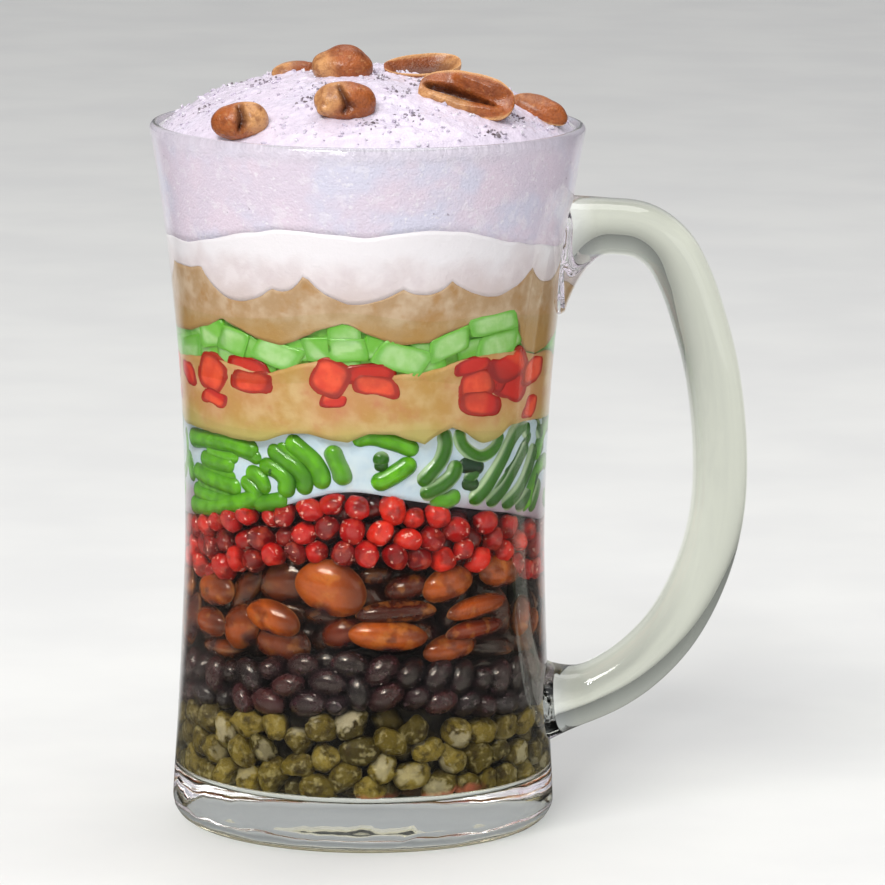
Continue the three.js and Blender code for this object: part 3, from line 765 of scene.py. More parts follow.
@dataclass(frozen=True)
class PasteFinish(Finish):
    """The finish of paste, cream, milk and cores: soft patches of three colours and a fine grain.

    It takes the base colour at its foot, the crest colour towards its top and the stain where it is
    marked as stained; on the lower paste that is a real stain, on the ruby core painted light. Spans
    are the heights between which that changes. All sizes in millimetres.
    """

    main: Colour
    light: Colour
    dark: Colour
    base: Colour
    base_span: tuple[float, float] = (0.0, 1.0)
    patch_size: float = 6.0
    roughness: float = 0.5
    depth: float = 0.12
    crest: Colour | None = None
    crest_span: tuple[float, float] = (0.0, 1.0)
    stain: Colour | None = None

    def look(self, nodes: Nodes) -> Inputs:
        """The shader's inputs."""
        darks = mottle(nodes, self.patch_size * 0.7, 0.5, 0.74, 5.0)
        colour = nodes.coated(
            self.main,
            (mottle(nodes, self.patch_size, 0.42, 0.66, 1.0), self.light),
            (nodes.part(darks, 0.8), self.dark),
            (mottle(nodes, 1.0, 0.52, 0.7, 9.0, 0.22), self.light),
        )
        colour = nodes.mix(rise(nodes, self.base_span, 1.6, 6.0), self.base, colour)
        if self.crest:
            colour = nodes.mix(rise(nodes, self.crest_span, 3.0, 9.0), colour, self.crest)
        if self.stain:
            # A real stain on the lower paste; painted light on the ruby core.
            colour = nodes.mix(nodes.mark("stain", 0.5), colour, self.stain)
        return {
            "Base Color": colour,
            "Roughness": nodes.span(darks, 0.0, 1.0, self.roughness, self.roughness * 1.25),
            "Normal": relief(nodes, self.depth, 1.6, 0.5),
        }


@dataclass(frozen=True)
class JellyFinish(Finish):
    """The finish of jelly: cloudy inside, with a wet gloss, and painted shade that makes edges darker than
    faces.

    Pieces marked as pale take the outline colour at their edge, and those in shade the shaded one.
    """

    face: Colour
    deep: Colour
    edge: Colour
    outline: Colour = srgb(206, 224, 184)
    shaded: Colour = srgb(20, 52, 26)

    def look(self, nodes: Nodes) -> Inputs:
        """The shader's inputs."""
        pale = nodes.mark("pale")
        reach = nodes.math("MULTIPLY_ADD", pale, -0.3, 0.9)
        line = nodes.span(nodes.mark("edge"), nodes.part(pale, 0.26), reach)
        colour = nodes.coated(
            self.deep,
            (nodes.span(nodes.mark("tint"), 0.25, 0.8), self.face),
            (mottle(nodes, 2.6, 0.35, 0.65, share=0.45), self.deep),
            # Painted shade at the edges, or the pale outline on pieces marked pale.
            (nodes.part(line, 0.8), nodes.mix(pale, self.edge, self.outline)),
            (nodes.mark("shade"), self.shaded),
        )
        return {
            "Base Color": colour,
            "Roughness": 0.16,
            "IOR": 1.38,
            "Subsurface Weight": 0.25,
            "Subsurface Radius": (1.0, 0.6, 0.4),
            "Subsurface Scale": 0.0015,
            "Coat Weight": 0.4,
            "Coat Roughness": 0.12,
            "Normal": relief(nodes, 0.06, 1.4, 0.6),
        }


@dataclass(frozen=True)
class IceFinish(Finish):
    """The finish of packed shaved ice: lilac white with cool and warm patches, grey pits, painted shade in
    the crevices between the mound's grains, and pale flecks that are frost and painted glints.
    """

    name: str = "shaved_ice"
    main: Colour = srgb(219, 204, 222)
    cool: Colour = srgb(213, 208, 229)
    warm: Colour = srgb(224, 206, 223)
    white: Colour = srgb(212, 202, 217)
    frost_and_glint: Colour = srgb(238, 231, 240)
    pit_and_crevice_shade: Colour = srgb(124, 112, 126)

    def look(self, nodes: Nodes) -> Inputs:
        """The shader's inputs."""
        small, wide = mottle(nodes, 0.9, 0.6, 0.67, 4.0, 0.6), mottle(nodes, 3.0, 0.57, 0.61, 21.0, 0.3)
        above = rise(nodes, (145.0, 149.0), 0.3, 4.0)
        # Painted shade in the crevices between grains above the rim.
        crevice_shade = nodes.math("MULTIPLY", nodes.mark("edge"), above)
        colour = nodes.coated(
            self.main,
            (mottle(nodes, 11.0, 0.42, 0.62, 2.0), self.cool),
            (mottle(nodes, 9.0, 0.48, 0.68, 6.0), self.warm),
            # Pale flecks: frost, and painted glints.
            (nodes.math("MAXIMUM", small, wide), self.frost_and_glint),
            (mottle(nodes, 1.1, 0.69, 0.75, 11.0, 0.6), self.pit_and_crevice_shade),
            (nodes.part(above, 0.8), self.white),
            (nodes.part(crevice_shade, 0.16), self.pit_and_crevice_shade),
        )
        return {
            "Base Color": colour,
            "Roughness": nodes.span(mottle(nodes, 0.8, 0.3, 0.7, 8.0), 0.0, 1.0, 0.18, 0.5),
            "IOR": 1.31,
            "Coat Weight": 0.35,
            "Coat Roughness": 0.1,
            "Normal": relief(nodes, 0.2, 1.1, 0.45, 0.6),
        }


@dataclass(frozen=True)
class CrystalFinish(Finish):
    """The finish of loose ice crystals, clear and a little cloudy, and of the specks among them."""

    name: str = "ice_crystal"
    clear: Colour = srgb(230, 225, 234)
    cloud: Colour = srgb(208, 198, 216)
    speck: Colour = srgb(104, 90, 94)

    def look(self, nodes: Nodes) -> Inputs:
        """The shader's inputs."""
        coats = (mottle(nodes, 3.0), self.cloud), (nodes.mark("tint"), self.speck)
        return {
            "Base Color": nodes.coated(self.clear, *coats),
            "Roughness": nodes.span(mottle(nodes, 0.9, 0.3, 0.7, 3.0), 0.0, 1.0, 0.04, 0.22),
            "IOR": 1.31,
            "Transmission Weight": 0.2,
            "Normal": relief(nodes, 0.05, 0.6, 0.3),
        }


@dataclass(frozen=True)
class NutFinish(Finish):
    """The finish of roasted peanuts: golden brown, with painted light on one side and painted shade in the
    grooves, wrinkles and dishes.
    """

    name: str = "roasted_peanut"
    light: Colour = srgb(206, 150, 96)
    main: Colour = srgb(162, 86, 36)
    dark: Colour = srgb(112, 52, 20)
    # The hollow colour is painted shade in grooves and dishes, and a darker skin on some swellings.
    hollow: Colour = srgb(66, 24, 8)
    rim: Colour = srgb(222, 172, 116)

    def look(self, nodes: Nodes) -> Inputs:
        """The shader's inputs."""
        colour = nodes.coated(
            self.main,
            # Painted light: the tint mark lightens one side of each kernel.
            (nodes.span(nodes.mark("tint"), 0.1, 0.8), self.light),
            (mottle(nodes, 5.0, 0.42, 0.7, 2.0, 0.6), self.dark),
            # Painted shade in the hollows of the wrinkles.
            (nodes.part(nodes.span(nodes.mark("fold"), 0.1, -0.7), 0.35), self.dark),
            (mottle(nodes, 1.6, 0.46, 0.66, 8.0, 0.5), self.dark),
            (mottle(nodes, 1.1, 0.56, 0.7, 13.0, 0.28), self.light),
            (mottle(nodes, 0.5, 0.56, 0.72, 5.0, 0.4), self.dark),
            # Painted shade in grooves and dishes, through the edge mark.
            (nodes.mark("edge", 0.92), self.hollow),
            (nodes.mark("rim", 0.85), self.rim),
        )
        return {
            "Base Color": colour,
            "Roughness": nodes.span(mottle(nodes, 1.5, 0.3, 0.7, 3.0), 0.0, 1.0, 0.36, 0.56),
            "IOR": 1.46,
            "Coat Weight": 0.22,
            "Coat Roughness": 0.2,
            "Normal": relief(nodes, 0.34, 1.3, 0.4, 0.4),
        }


# Heaps of beans and seeds


@dataclass(frozen=True)
class BeanForm:
    """The form of one kind of bean or seed, in millimetres.

    Bend is a share of its width; lumps and wrinkles are shares of its radius. Flatness is 1 for
    round and more for a sharper rim, facets are flat sides pressed into it, and splits is the share
    of pieces whose skin has split. One with an eye has it at the middle of its hollow side.
    """

    length: float
    width: float
    thickness: float
    bend: float = 0.0
    lumps: float = 0.03
    wrinkles: float = 0.0
    flatness: float = 1.0
    facets: int = 0
    splits: float = 0.0
    eye: bool = False

    def shape(self, size: Array, detail: int, number: int, tint: float) -> Shape:
        """One piece, lying along x with its flat side to z.

        Args:
            size: Its length, width and thickness.
            detail: The detail of the ball that it is made from.
            number: Its number, which picks its lumps.
            tint: Its tint, 0 to 1.

        Returns:
            The shape with its marks.
        """
        draw = np.random.default_rng(number)
        unit = ball(detail).points
        local = unit.copy()
        for _ in range(self.facets):
            way = draw.normal(size=3)
            way /= np.linalg.norm(way)
            over = np.clip(local @ way - draw.uniform(0.62, 0.85), 0, None)
            local -= 0.9 * over[:, None] * way
        shift = np.array([number * 3.7, number * 1.9, 0.0])
        swell = 1 + self.lumps * soft_noise(unit + shift, 0.8, 1.0, 2)
        if self.wrinkles:
            folds = 1 - 2 * np.abs(soft_noise(unit * [0.8, 1.2, 1.2] + shift, 0.42, 5.0, 3))
            swell += self.wrinkles * folds
        local *= swell[:, None]
        local[:, 2] *= np.abs(unit[:, 2]) ** (self.flatness - 1)
        across = local[:, 1] + self.bend * (0.5 - local[:, 0] ** 2)
        points = np.stack([local[:, 0], across, local[:, 2]], axis=1) * size / 2
        gash = self.gash(points, unit, size, draw)
        # Painted highlight: a pale line along the rim of a flat bean.
        rim = np.exp(-((unit[:, 2] / 0.13) ** 2)) if self.flatness > 1 else np.zeros(len(unit))
        made = Shape(points, ball(detail).faces)
        return made.marked(tint=tint, edge=gash, rim=rim, along=unit[:, 0], across=unit[:, 1])

    def gash(self, points: Array, unit: Array, size: Array, draw: np.random.Generator) -> Array:
        """Opens the skin of some pieces along one side, and marks the eye of a bent bean.

        Args:
            points: The piece's points, which are moved.
            unit: The same points on a ball of radius 1.
            size: The piece's length, width and thickness.
            draw: The piece's own random draws.

        Returns:
            The mark for each point, 0 to 1.
        """
        if self.eye:
            away = np.hypot((unit[:, 0] - 0.05) / 0.3, (unit[:, 1] + 0.9) / 0.36)
            return np.clip(1.3 - away, 0, 1) * 0.9
        if draw.random() >= self.splits:
            return np.zeros(len(points))
        way = draw.normal(size=3) * [0.5, 1, 1]
        way /= np.linalg.norm(way)
        wander = 0.55 * soft_noise(unit * 2 + draw.uniform(0, 50), 0.7, 2.0, 3)
        facing = unit @ way + wander
        open_from = draw.uniform(0.6, 0.85)
        gash = np.clip((facing - open_from) / 0.08, 0, 1)
        lip = np.exp(-(((facing - open_from) / 0.06) ** 2))
        points -= (unit * size / 2) * (0.07 * gash - 0.07 * lip)[:, None]
        return gash * draw.uniform(0.3, 0.8)


@dataclass
class Resting:
    """Pieces as they lie in a heap: their middles, their axes as columns, their sizes, and which stay put."""

    places: Array
    turns: Array
    sizes: Array
    held: Array


def facing_glass(angle: Array, tilt: Array) -> Array:
    """The axes of pieces that lie flat against the glass.

    Args:
        angle: Their angles round the mug.
        tilt: How far each is turned up from level.

    Returns:
        Their axes as columns, n by 3 by 3.
    """
    around = np.stack([np.cos(angle), np.sin(angle), np.zeros_like(angle)], axis=1)
    out = np.stack([np.sin(angle), -np.cos(angle), np.zeros_like(angle)], axis=1)
    cos, sin = np.cos(tilt)[:, None], np.sin(tilt)[:, None]
    return np.stack([around * cos + UP * sin, UP * cos - around * sin, out], axis=2)


@dataclass
class Heap:
    """A heap of like pieces between two boundaries, seen through the glass, in millimetres.

    Pieces placed one by one are given as degrees round, height, length, width, tilt in degrees, how far
    in from the glass, and tint. Within the clear reach, in degrees either side of the front, strewn
    pieces stay behind them. A blush stains the heap's foot: its middle and its reach in degrees
    round, and the height that it fades out at.
    """

    name: str
    slot: str
    bottom: Edge
    top: Edge
    form: BeanForm
    count: int
    depth: float
    seed: int
    placed: tuple[tuple[float, ...], ...] = ()
    detail: int = 4
    placed_detail: int = 4
    wall_gap: float = 0.12
    rounds: int = 110
    longest_move: float = 0.6
    largest_spin: float = 0.15
    clear_reach: float = 0.0
    blush: tuple[float, float, float] | None = None

    def strewn(self) -> Resting:
        """The pieces where they are dropped, before they settle."""
        draw = np.random.default_rng(self.seed)
        count = self.count
        form = self.form
        angle = (np.arange(count) + draw.uniform(-0.4, 0.4, count)) * FULL_TURN * 0.618034
        low, high = self.bottom.at(angle), self.top.at(angle)
        height = low + (high - low) * draw.uniform(0.08, 0.92, count)
        inset = form.thickness / 2 + self.depth * draw.uniform(0, 1, count) ** 1.6
        places = on_ring(angle, MUG.inner_radius(height) - inset, height)
        turns = facing_glass(angle, draw.uniform(-0.9, 0.9, count))
        spins = draw.normal(0, 0.45, (count, 3))
        turns = turns_for(spins) @ turns
        scale = 1 + 0.09 * draw.uniform(-1, 1, (count, 1)) + 0.05 * draw.uniform(-1, 1, (count, 3))
        sizes = np.array([form.length, form.width, form.thickness]) * scale
        held = np.zeros(count, bool)
        if self.placed:
            rows = np.array(self.placed)
            angle = np.radians(rows[:, 0])
            thick = np.minimum(rows[:, 3], form.thickness)
            radius = MUG.inner_radius(rows[:, 1]) - self.wall_gap - thick / 2 - rows[:, 5]
            places = np.concatenate([on_ring(angle, radius, rows[:, 1]), places])
            turns = np.concatenate([facing_glass(angle, np.radians(rows[:, 4])), turns])
            sizes = np.concatenate([np.stack([rows[:, 2], rows[:, 3], thick], axis=1), sizes])
            held = np.concatenate([np.ones(len(rows), bool), held])
        return Resting(places, turns, sizes, held)

    def knobs(self, sizes: Array) -> tuple[Array, Array]:
        """Balls that fill each piece, for finding where pieces touch.

        Args:
            sizes: The pieces' lengths, widths and thicknesses.

        Returns:
            The balls' places in each piece, n by k by 3, and their radii, n by k.
        """
        radius = sizes[:, 2] / 2
        shares = np.array([(-1, 0), (-0.5, 0), (0, 0), (0.5, 0), (1, 0), (0, -1), (0, 1)], float)
        reach = np.stack([sizes[:, 0] / 2 - radius, np.maximum(0, sizes[:, 1] / 2 - radius)], axis=1)
        flat = shares[None] * reach[:, None]
        places = np.concatenate([flat, np.zeros_like(flat[..., :1])], axis=2)
        end = np.where(np.abs(shares[:, 0]) == 1, 0.9, 1.0)
        return places * [0.97, 0.97, 1], radius[:, None] * end[None] * 0.97

    def settled(self) -> Resting:
        """Pushes the strewn pieces apart until they lie between the glass, core and boundaries."""
        lying = self.strewn()
        offsets, radii = self.knobs(lying.sizes)
        count, knobs = radii.shape
        owner = np.repeat(np.arange(count), knobs)
        same = owner[:, None] == owner[None]
        flat_radii = radii.reshape(-1)
        arm_square = (offsets**2).sum(axis=(1, 2)) + radii.mean(axis=1) ** 2
        free = ~lying.held
        for step in range(self.rounds):
            arms = np.einsum("nij,nkj->nki", lying.turns, offsets)
            centres = (lying.places[:, None] + arms).reshape(-1, 3)
            square = (centres**2).sum(axis=1)
            gap = np.sqrt(np.maximum(square[:, None] + square[None] - 2 * centres @ centres.T, 1e-6))
            overlap = np.clip(flat_radii[:, None] + flat_radii[None] - gap, 0, None)
            overlap[same] = 0
            pull = overlap / gap
            shift = 0.42 * (centres * pull.sum(axis=1)[:, None] - pull @ centres)
            shift += self.kept_in(centres, flat_radii, step / self.rounds)
            shift = shift.reshape(count, knobs, 3)
            move = shift.mean(axis=1) * 1.6
            spin = np.cross(arms, shift).sum(axis=1) / arm_square[:, None]
            lying.places[free] += np.clip(move, -self.longest_move, self.longest_move)[free]
            spin = np.clip(spin, -self.largest_spin, self.largest_spin)
            turns = turns_for(spin[free]) @ lying.turns[free]
            lying.turns[free] = np.linalg.qr(turns)[0] * np.sign(
                np.einsum("nii->ni", np.linalg.qr(turns)[1])
            )[:, None]
        return lying

    def kept_in(self, centres: Array, radii: Array, share: float) -> Array:
        """How far balls are pushed by the glass, the core and the boundaries, and drift outwards.

        Args:
            centres: The balls' middles.
            radii: Their radii.
            share: How far the settling has come, 0 to 1.

        Returns:
            A push for each ball.
        """
        angle = angle_of(centres)
        reach = np.hypot(centres[:, 0], centres[:, 1])
        out = centres / reach[:, None] * [1, 1, 0]
        wall = MUG.inner_radius(centres[:, 2]) - self.wall_gap
        nearest = wall - 3.4 * (np.abs(np.degrees(angle)) < self.clear_reach)
        beyond = np.clip(reach + radii - nearest, 0, None)
        inside = np.clip(wall - self.depth - 0.3 * radii - reach, 0, None)
        low = self.bottom.at(angle) - 0.25
        high = self.top.at(angle) + 0.25
        up = np.clip(low + radii - centres[:, 2], 0, None) - np.clip(centres[:, 2] + radii - high, 0, None)
        drift = 0.08 * (1 - share)
        return out * (inside - beyond + drift)[:, None] + UP * (up - drift / 2)[:, None]

    def build(self, material: bpy.types.Material) -> None:
        """Builds the heap's pieces as one mesh and dresses it."""
        lying = self.settled()
        tints = np.random.default_rng(self.seed + 1).random(len(lying.places))
        tints[: len(self.placed)] = [row[6] for row in self.placed]
        shapes = []
        for number, place in enumerate(lying.places):
            size = lying.sizes[number]
            near = MUG.inset(place) < size[2] * 0.5 + 0.7
            detail = self.placed_detail if lying.held[number] else self.detail if near else self.detail - 1
            made = self.form.shape(size, detail, self.seed + number, tints[number])
            shapes.append(made.placed(lying.turns[number], place))
        heap = joined(shapes)
        self.hold_inside(heap.points)
        # Painted shade: the deep mark grows with how far a point lies behind the glass, so deeper parts
        # darken.
        heap.marked(deep=np.clip((MUG.inset(heap.points) - 0.7) / 4.4, 0, 1) ** 0.85)
        if self.blush:
            middle, reach, height = self.blush
            beside = np.abs(np.degrees(angle_of(heap.points)) - middle) / reach
            ragged = height + 1.8 * soft_noise(heap.points, 3.4, 23.0, 2) - heap.points[:, 2]
            heap.marked(rim=np.clip(ragged / 0.8, 0, 1) * np.clip((1 - beside) * 4, 0, 1))
        dress(make_object(self.name, heap), material, self.slot, self.name)

    def hold_inside(self, points: Array) -> None:
        """Flattens what would reach through the glass or its floor, as soft beans do."""
        reach = np.hypot(points[:, 0], points[:, 1])
        limit = MUG.inner_radius(points[:, 2]) - 0.06
        points[:, :2] *= np.minimum(1, limit / reach)[:, None]
        points[:, 2] = np.maximum(points[:, 2], MUG.floor_height + 0.05)


# Bodies between two boundaries


@dataclass
class LayerBody:
    """A closed body between two lines round the mug.

    Its side reaches past the inside of the glass, or stays behind it where the reach is less than 0.
    Its underside stays above the lower line by the low lift, and its top under the upper one by the
    high drop.
    """

    bottom: Line
    top: Line
    reach: float = 0.09
    columns: int = 216
    rows: int = 14
    low_lift: float = 0.05
    high_drop: float = 0.05
    inner_rings: int = 4

    def low_at(self, angle: Array, share: Array | float = 1.0) -> Array:
        """The height of the underside."""
        return self.bottom.at(angle, share) + self.low_lift

    def high_at(self, angle: Array, share: Array | float = 1.0) -> Array:
        """The height of the top."""
        return self.top.at(angle, share) - self.high_drop

    def side_radius(self, angle: Array, height: Array) -> Array:
        """The radius of the side."""
        return MUG.inner_radius(height) + self.reach

    def shape(self) -> Shape:
        """The closed shape."""
        angle = ring_angles(self.columns)
        shares = np.linspace(0, 1, self.inner_rings + 1)[1:-1]
        levels = [(share, self.low_at(angle, share)) for share in shares]
        low, high = self.low_at(angle), self.high_at(angle)
        levels += [(1.0, low + step * (high - low)) for step in np.linspace(0, 1, self.rows)]
        levels += [(share, self.high_at(angle, share)) for share in shares[::-1]]
        rings = [on_ring(angle, share * self.side_radius(angle, height), height) for share, height in levels]
        middle = np.zeros(1)
        first = np.array([0, 0, float(self.low_at(middle, 0.0)[0])])
        last = np.array([0, 0, float(self.high_at(middle, 0.0)[0])])
        return skin(np.array(rings), first, last)

    def build(self, name: str, material: bpy.types.Material, slot: str, *nodes: str) -> None:
        """Builds and dresses the body."""
        dress(make_object(name, self.shape()), material, slot, *nodes)


@dataclass
class HeapCore(LayerBody):
    """The uneven body behind a heap's pieces, where the next ones would show; behind beans and seeds its
    finish is dark, painted shade for the heap's depths.
    """

    lumps: float = 0.9
    lump_size: float = 5.0
    paler_top_depth: float = 2.4

    def shape(self) -> Shape:
        """The closed shape, marked towards its top under the layer above, where painted light makes it paler.
        """
        made = super().shape()
        below = self.top.at(angle_of(made.points)) - made.points[:, 2]
        return made.marked(stain=np.clip(2 - 2 * below / self.paler_top_depth, 0, 1))

    def side_radius(self, angle: Array, height: Array) -> Array:
        """The radius of the lumpy side."""
        radius = super().side_radius(angle, height)
        spots = on_ring(angle, radius, height)
        return radius + self.lumps * soft_noise(spots, self.lump_size, 9.0, 2)


# The glass mug


@dataclass
class Handle:
    """The handle, swept along a curve in the XZ plane, in millimetres."""

    width: float = 15.5
    thickness: float = 11.0
    roundness: float = 0.78
    steps: int = 150
    sides: int = 48
    fillet: float = 11.0
    upper_swell: float = 13.0
    lower_swell: float = 3.0
    upper_root: float = 41.0
    lower_root: float = 39.0
    route: tuple[tuple[float, float], ...] = (
        (33.0, 127.4), (43.0, 128.0), (51.0, 128.0), (58.2, 127.1), (63.5, 123.4), (67.2, 117.2),
        (70.5, 108.0), (73.4, 96.8), (75.2, 81.0), (74.8, 67.0), (71.7, 54.2), (65.6, 42.0),
        (57.6, 33.4), (49.0, 28.2), (41.5, 26.3), (33.0, 25.4),
    )

    def line(self) -> Array:
        """The centreline as evenly spaced points."""
        return smooth_line(np.array([(x, 0.0, z) for x, z in self.route]), self.steps)

    def shape(self) -> Shape:
        """The handle's closed shape, reaching into the mug's wall."""
        line = self.line()
        along = np.gradient(line, axis=0)
        along /= np.linalg.norm(along, axis=1)[:, None]
        outwards = np.stack([-along[:, 2], np.zeros(len(line)), along[:, 0]], axis=1)
        turn = ring_angles(self.sides)
        across = np.sign(np.cos(turn)) * np.abs(np.cos(turn)) ** self.roundness
        aside = np.sign(np.sin(turn)) * np.abs(np.sin(turn)) ** self.roundness
        upper = line[:, 2] > MUG.waist_height
        start = np.where(upper, self.upper_root, self.lower_root)
        swell = np.clip(1 - np.clip(line[:, 0] - start, 0, None) / self.fillet, 0, 1) ** 2
        half = self.thickness / 2
        inwards = half + np.where(upper, self.upper_swell, self.lower_swell) * swell
        beyond = half + 0.7 + np.where(upper, 0.7, 2.4) * swell
        sideways = self.width / 2 + 2.4 * swell
        depth = np.where(across[None] > 0, beyond[:, None], inwards[:, None]) * across[None]
        rings = line[:, None] + outwards[:, None] * depth[..., None]
        rings[..., 1] += aside[None] * sideways[:, None]
        return skin(rings[:, ::-1], line[0], line[-1])


def smooth_line(points: Array, steps: int) -> Array:
    """A smooth curve through points.

    Args:
        points: The points to pass through.
        steps: How many even steps the curve is cut into.

    Returns:
        The curve's points.
    """
    ends = np.concatenate([[2 * points[0] - points[1]], points, [2 * points[-1] - points[-2]]])
    knots = np.concatenate([[0], np.cumsum(np.linalg.norm(np.diff(ends, axis=0), axis=1) ** 0.5)])
    dense = []
    for i in range(1, len(ends) - 2):
        t = np.linspace(knots[i], knots[i + 1], 40, endpoint=False)[:, None]
        a = [
            (ends[j] * (knots[j + 1] - t) + ends[j + 1] * (t - knots[j])) / (knots[j + 1] - knots[j])
            for j in (i - 1, i, i + 1)
        ]
        b = [
            (a[j] * (knots[i + 1 + j] - t) + a[j + 1] * (t - knots[i - 1 + j]))
            / (knots[i + 1 + j] - knots[i - 1 + j])
            for j in (0, 1)
        ]
        dense.append((b[0] * (knots[i + 1] - t) + b[1] * (t - knots[i])) / (knots[i + 1] - knots[i]))
    curve = np.concatenate([*dense, points[-1:]])
    length = np.concatenate([[0], np.cumsum(np.linalg.norm(np.diff(curve, axis=0), axis=1))])
    even = np.linspace(0, length[-1], steps + 1)
    return np.stack([np.interp(even, length, curve[:, axis]) for axis in range(3)], axis=1)


@dataclass
class GlassMug:
    """The clear mug with its thick base and its handle."""

    form: MugForm = MUG
    handle: Handle = field(default_factory=Handle)
    columns: int = 168
    round_steps: int = 10
    wall_steps: int = 40
    base_waves: float = 0.36
    wave_size: float = 7.0
    arm_fade: float = 5.0

    def lip(self, side: int) -> list[tuple[float, float]]:
        """The rounded lip's radii and heights, on the outer side for 1 or the inner for -1."""
        half = self.form.wall_at_rim / 2
        start = self.form.height - half
        centre = self.form.outer_radius(start) - half
        turn = np.linspace(0, math.pi / 2, self.round_steps)[1:]
        return list(zip(centre + side * half * np.cos(turn), start + half * np.sin(turn)))

    def wall(self, radius: Callable[[Array], Array], start: float) -> list[tuple[float, float]]:
        """The radii and heights of a wall from a height up to the lip."""
        heights = np.linspace(start, self.form.height - self.form.wall_at_rim / 2, self.wall_steps)[1:]
        return list(zip(radius(heights), heights))

    def outside(self) -> Shape:
        """The mug's outside as a solid body up to the rim, with a rounded lip."""
        form = self.form
        turn = np.linspace(0, math.pi / 2, self.round_steps)
        foot = form.outer_radius(form.foot_corner) - form.foot_corner * (1 - np.sin(turn))
        rows = [(10.0, 1.7), (20.0, 1.3), (28.0, 0.6), (33.0, 0.0)]
        rows += list(zip(foot, form.foot_corner * (1 - np.cos(turn))))
        rows += self.wall(form.outer_radius, form.foot_corner)
        body = self.lathe(rows + self.lip(1))
        low = np.clip(body.points[:, 2] / 2, 0, 1) * np.clip((13 - body.points[:, 2]) / 3, 0, 1)
        waves = self.base_waves * low * soft_noise(body.points * [1, 1, 2.2], self.wave_size, 91.0, 2)
        body.points[:, :2] *= (1 - np.abs(waves) / 40)[:, None]
        return body

    def inside(self) -> Shape:
        """The space inside, running out above the rim over the lip's inner round."""
        form = self.form
        turn = np.linspace(0, math.pi / 2, self.round_steps)
        heights = form.floor_height + form.floor_corner * (1 - np.cos(turn))
        rows = list(zip(form.inner_radius(heights), heights))
        rows[0] = (form.inner_radius(form.floor_height), form.floor_height)
        rows += self.wall(form.inner_radius, heights[-1]) + self.lip(-1)
        return self.lathe([*rows, (rows[-1][0], form.height + 5)])

    def lathe(self, rows: list[tuple[float, float]]) -> Shape:
        """A closed body of rings at radii and heights."""
        angle = ring_angles(self.columns)
        rings = np.array([on_ring(angle, radius, height) for radius, height in rows])
        return skin(rings, np.array([0, 0, rows[0][1]]), np.array([0, 0, rows[-1][1]]))

    def build(self, material: bpy.types.Material, lining: bpy.types.Material) -> None:
        """Joins the body and the handle, cuts the inside out and dresses the mug.

        Args:
            material: The glass.
            lining: The glass where the dessert lies against it.
        """
        mug = make_object("glass_mug_clear", self.outside())
        for other, operation in ((self.handle.shape(), "UNION"), (self.inside(), "DIFFERENCE")):
            tool = make_object("cutter", other)
            change = mug.modifiers.new("join", "BOOLEAN")
            change.operation = operation
            change.solver = "MANIFOLD"
            change.object = tool
            apply_modifiers(mug)
            bpy.data.objects.remove(tool)
        mug.data.set_sharp_from_angle(angle=math.radians(20))
        mug.data.materials.clear()
        dress(mug, material, "glass", "glass_mug")
        mug.data.materials.append(lining)
        centres = np.array([face.center for face in mug.data.polygons]) / MM
        lined = (MUG.inset(centres) > -0.2) & (centres[:, 2] > self.form.floor_height - 0.2)
        mug.data.polygons.foreach_set("material_index", lined.astype(np.int32))
        points = np.array([point.co for point in mug.data.vertices]) / MM
        beyond = np.hypot(points[:, 0], points[:, 1]) - self.form.outer_radius(points[:, 2])
        arm = mug.data.attributes.new("arm", "FLOAT", "POINT")
        arm.data.foreach_set("value", np.clip((beyond - 0.5) / self.arm_fade, 0, 1).astype(np.float32))


def apply_modifiers(made: bpy.types.Object) -> None:
    """Writes an object's modifiers into its mesh."""
    depsgraph = bpy.context.evaluated_depsgraph_get()
    mesh = bpy.data.meshes.new_from_object(made.evaluated_get(depsgraph))
    made.modifiers.clear()
    made.data = mesh


# Pandan jelly and its milk


@dataclass(frozen=True)
class Strand:
    """One strand of pandan jelly through spots in degrees round and heights, in millimetres.

    Pale says how pale its outline is and shade how far it lies in shade, 0 to 1.
    """

    spots: tuple[tuple[float, float], ...]
    inset: float = 0.0
    radius: float = 2.2
    pale: float = 0.0
    shade: float = 0.0


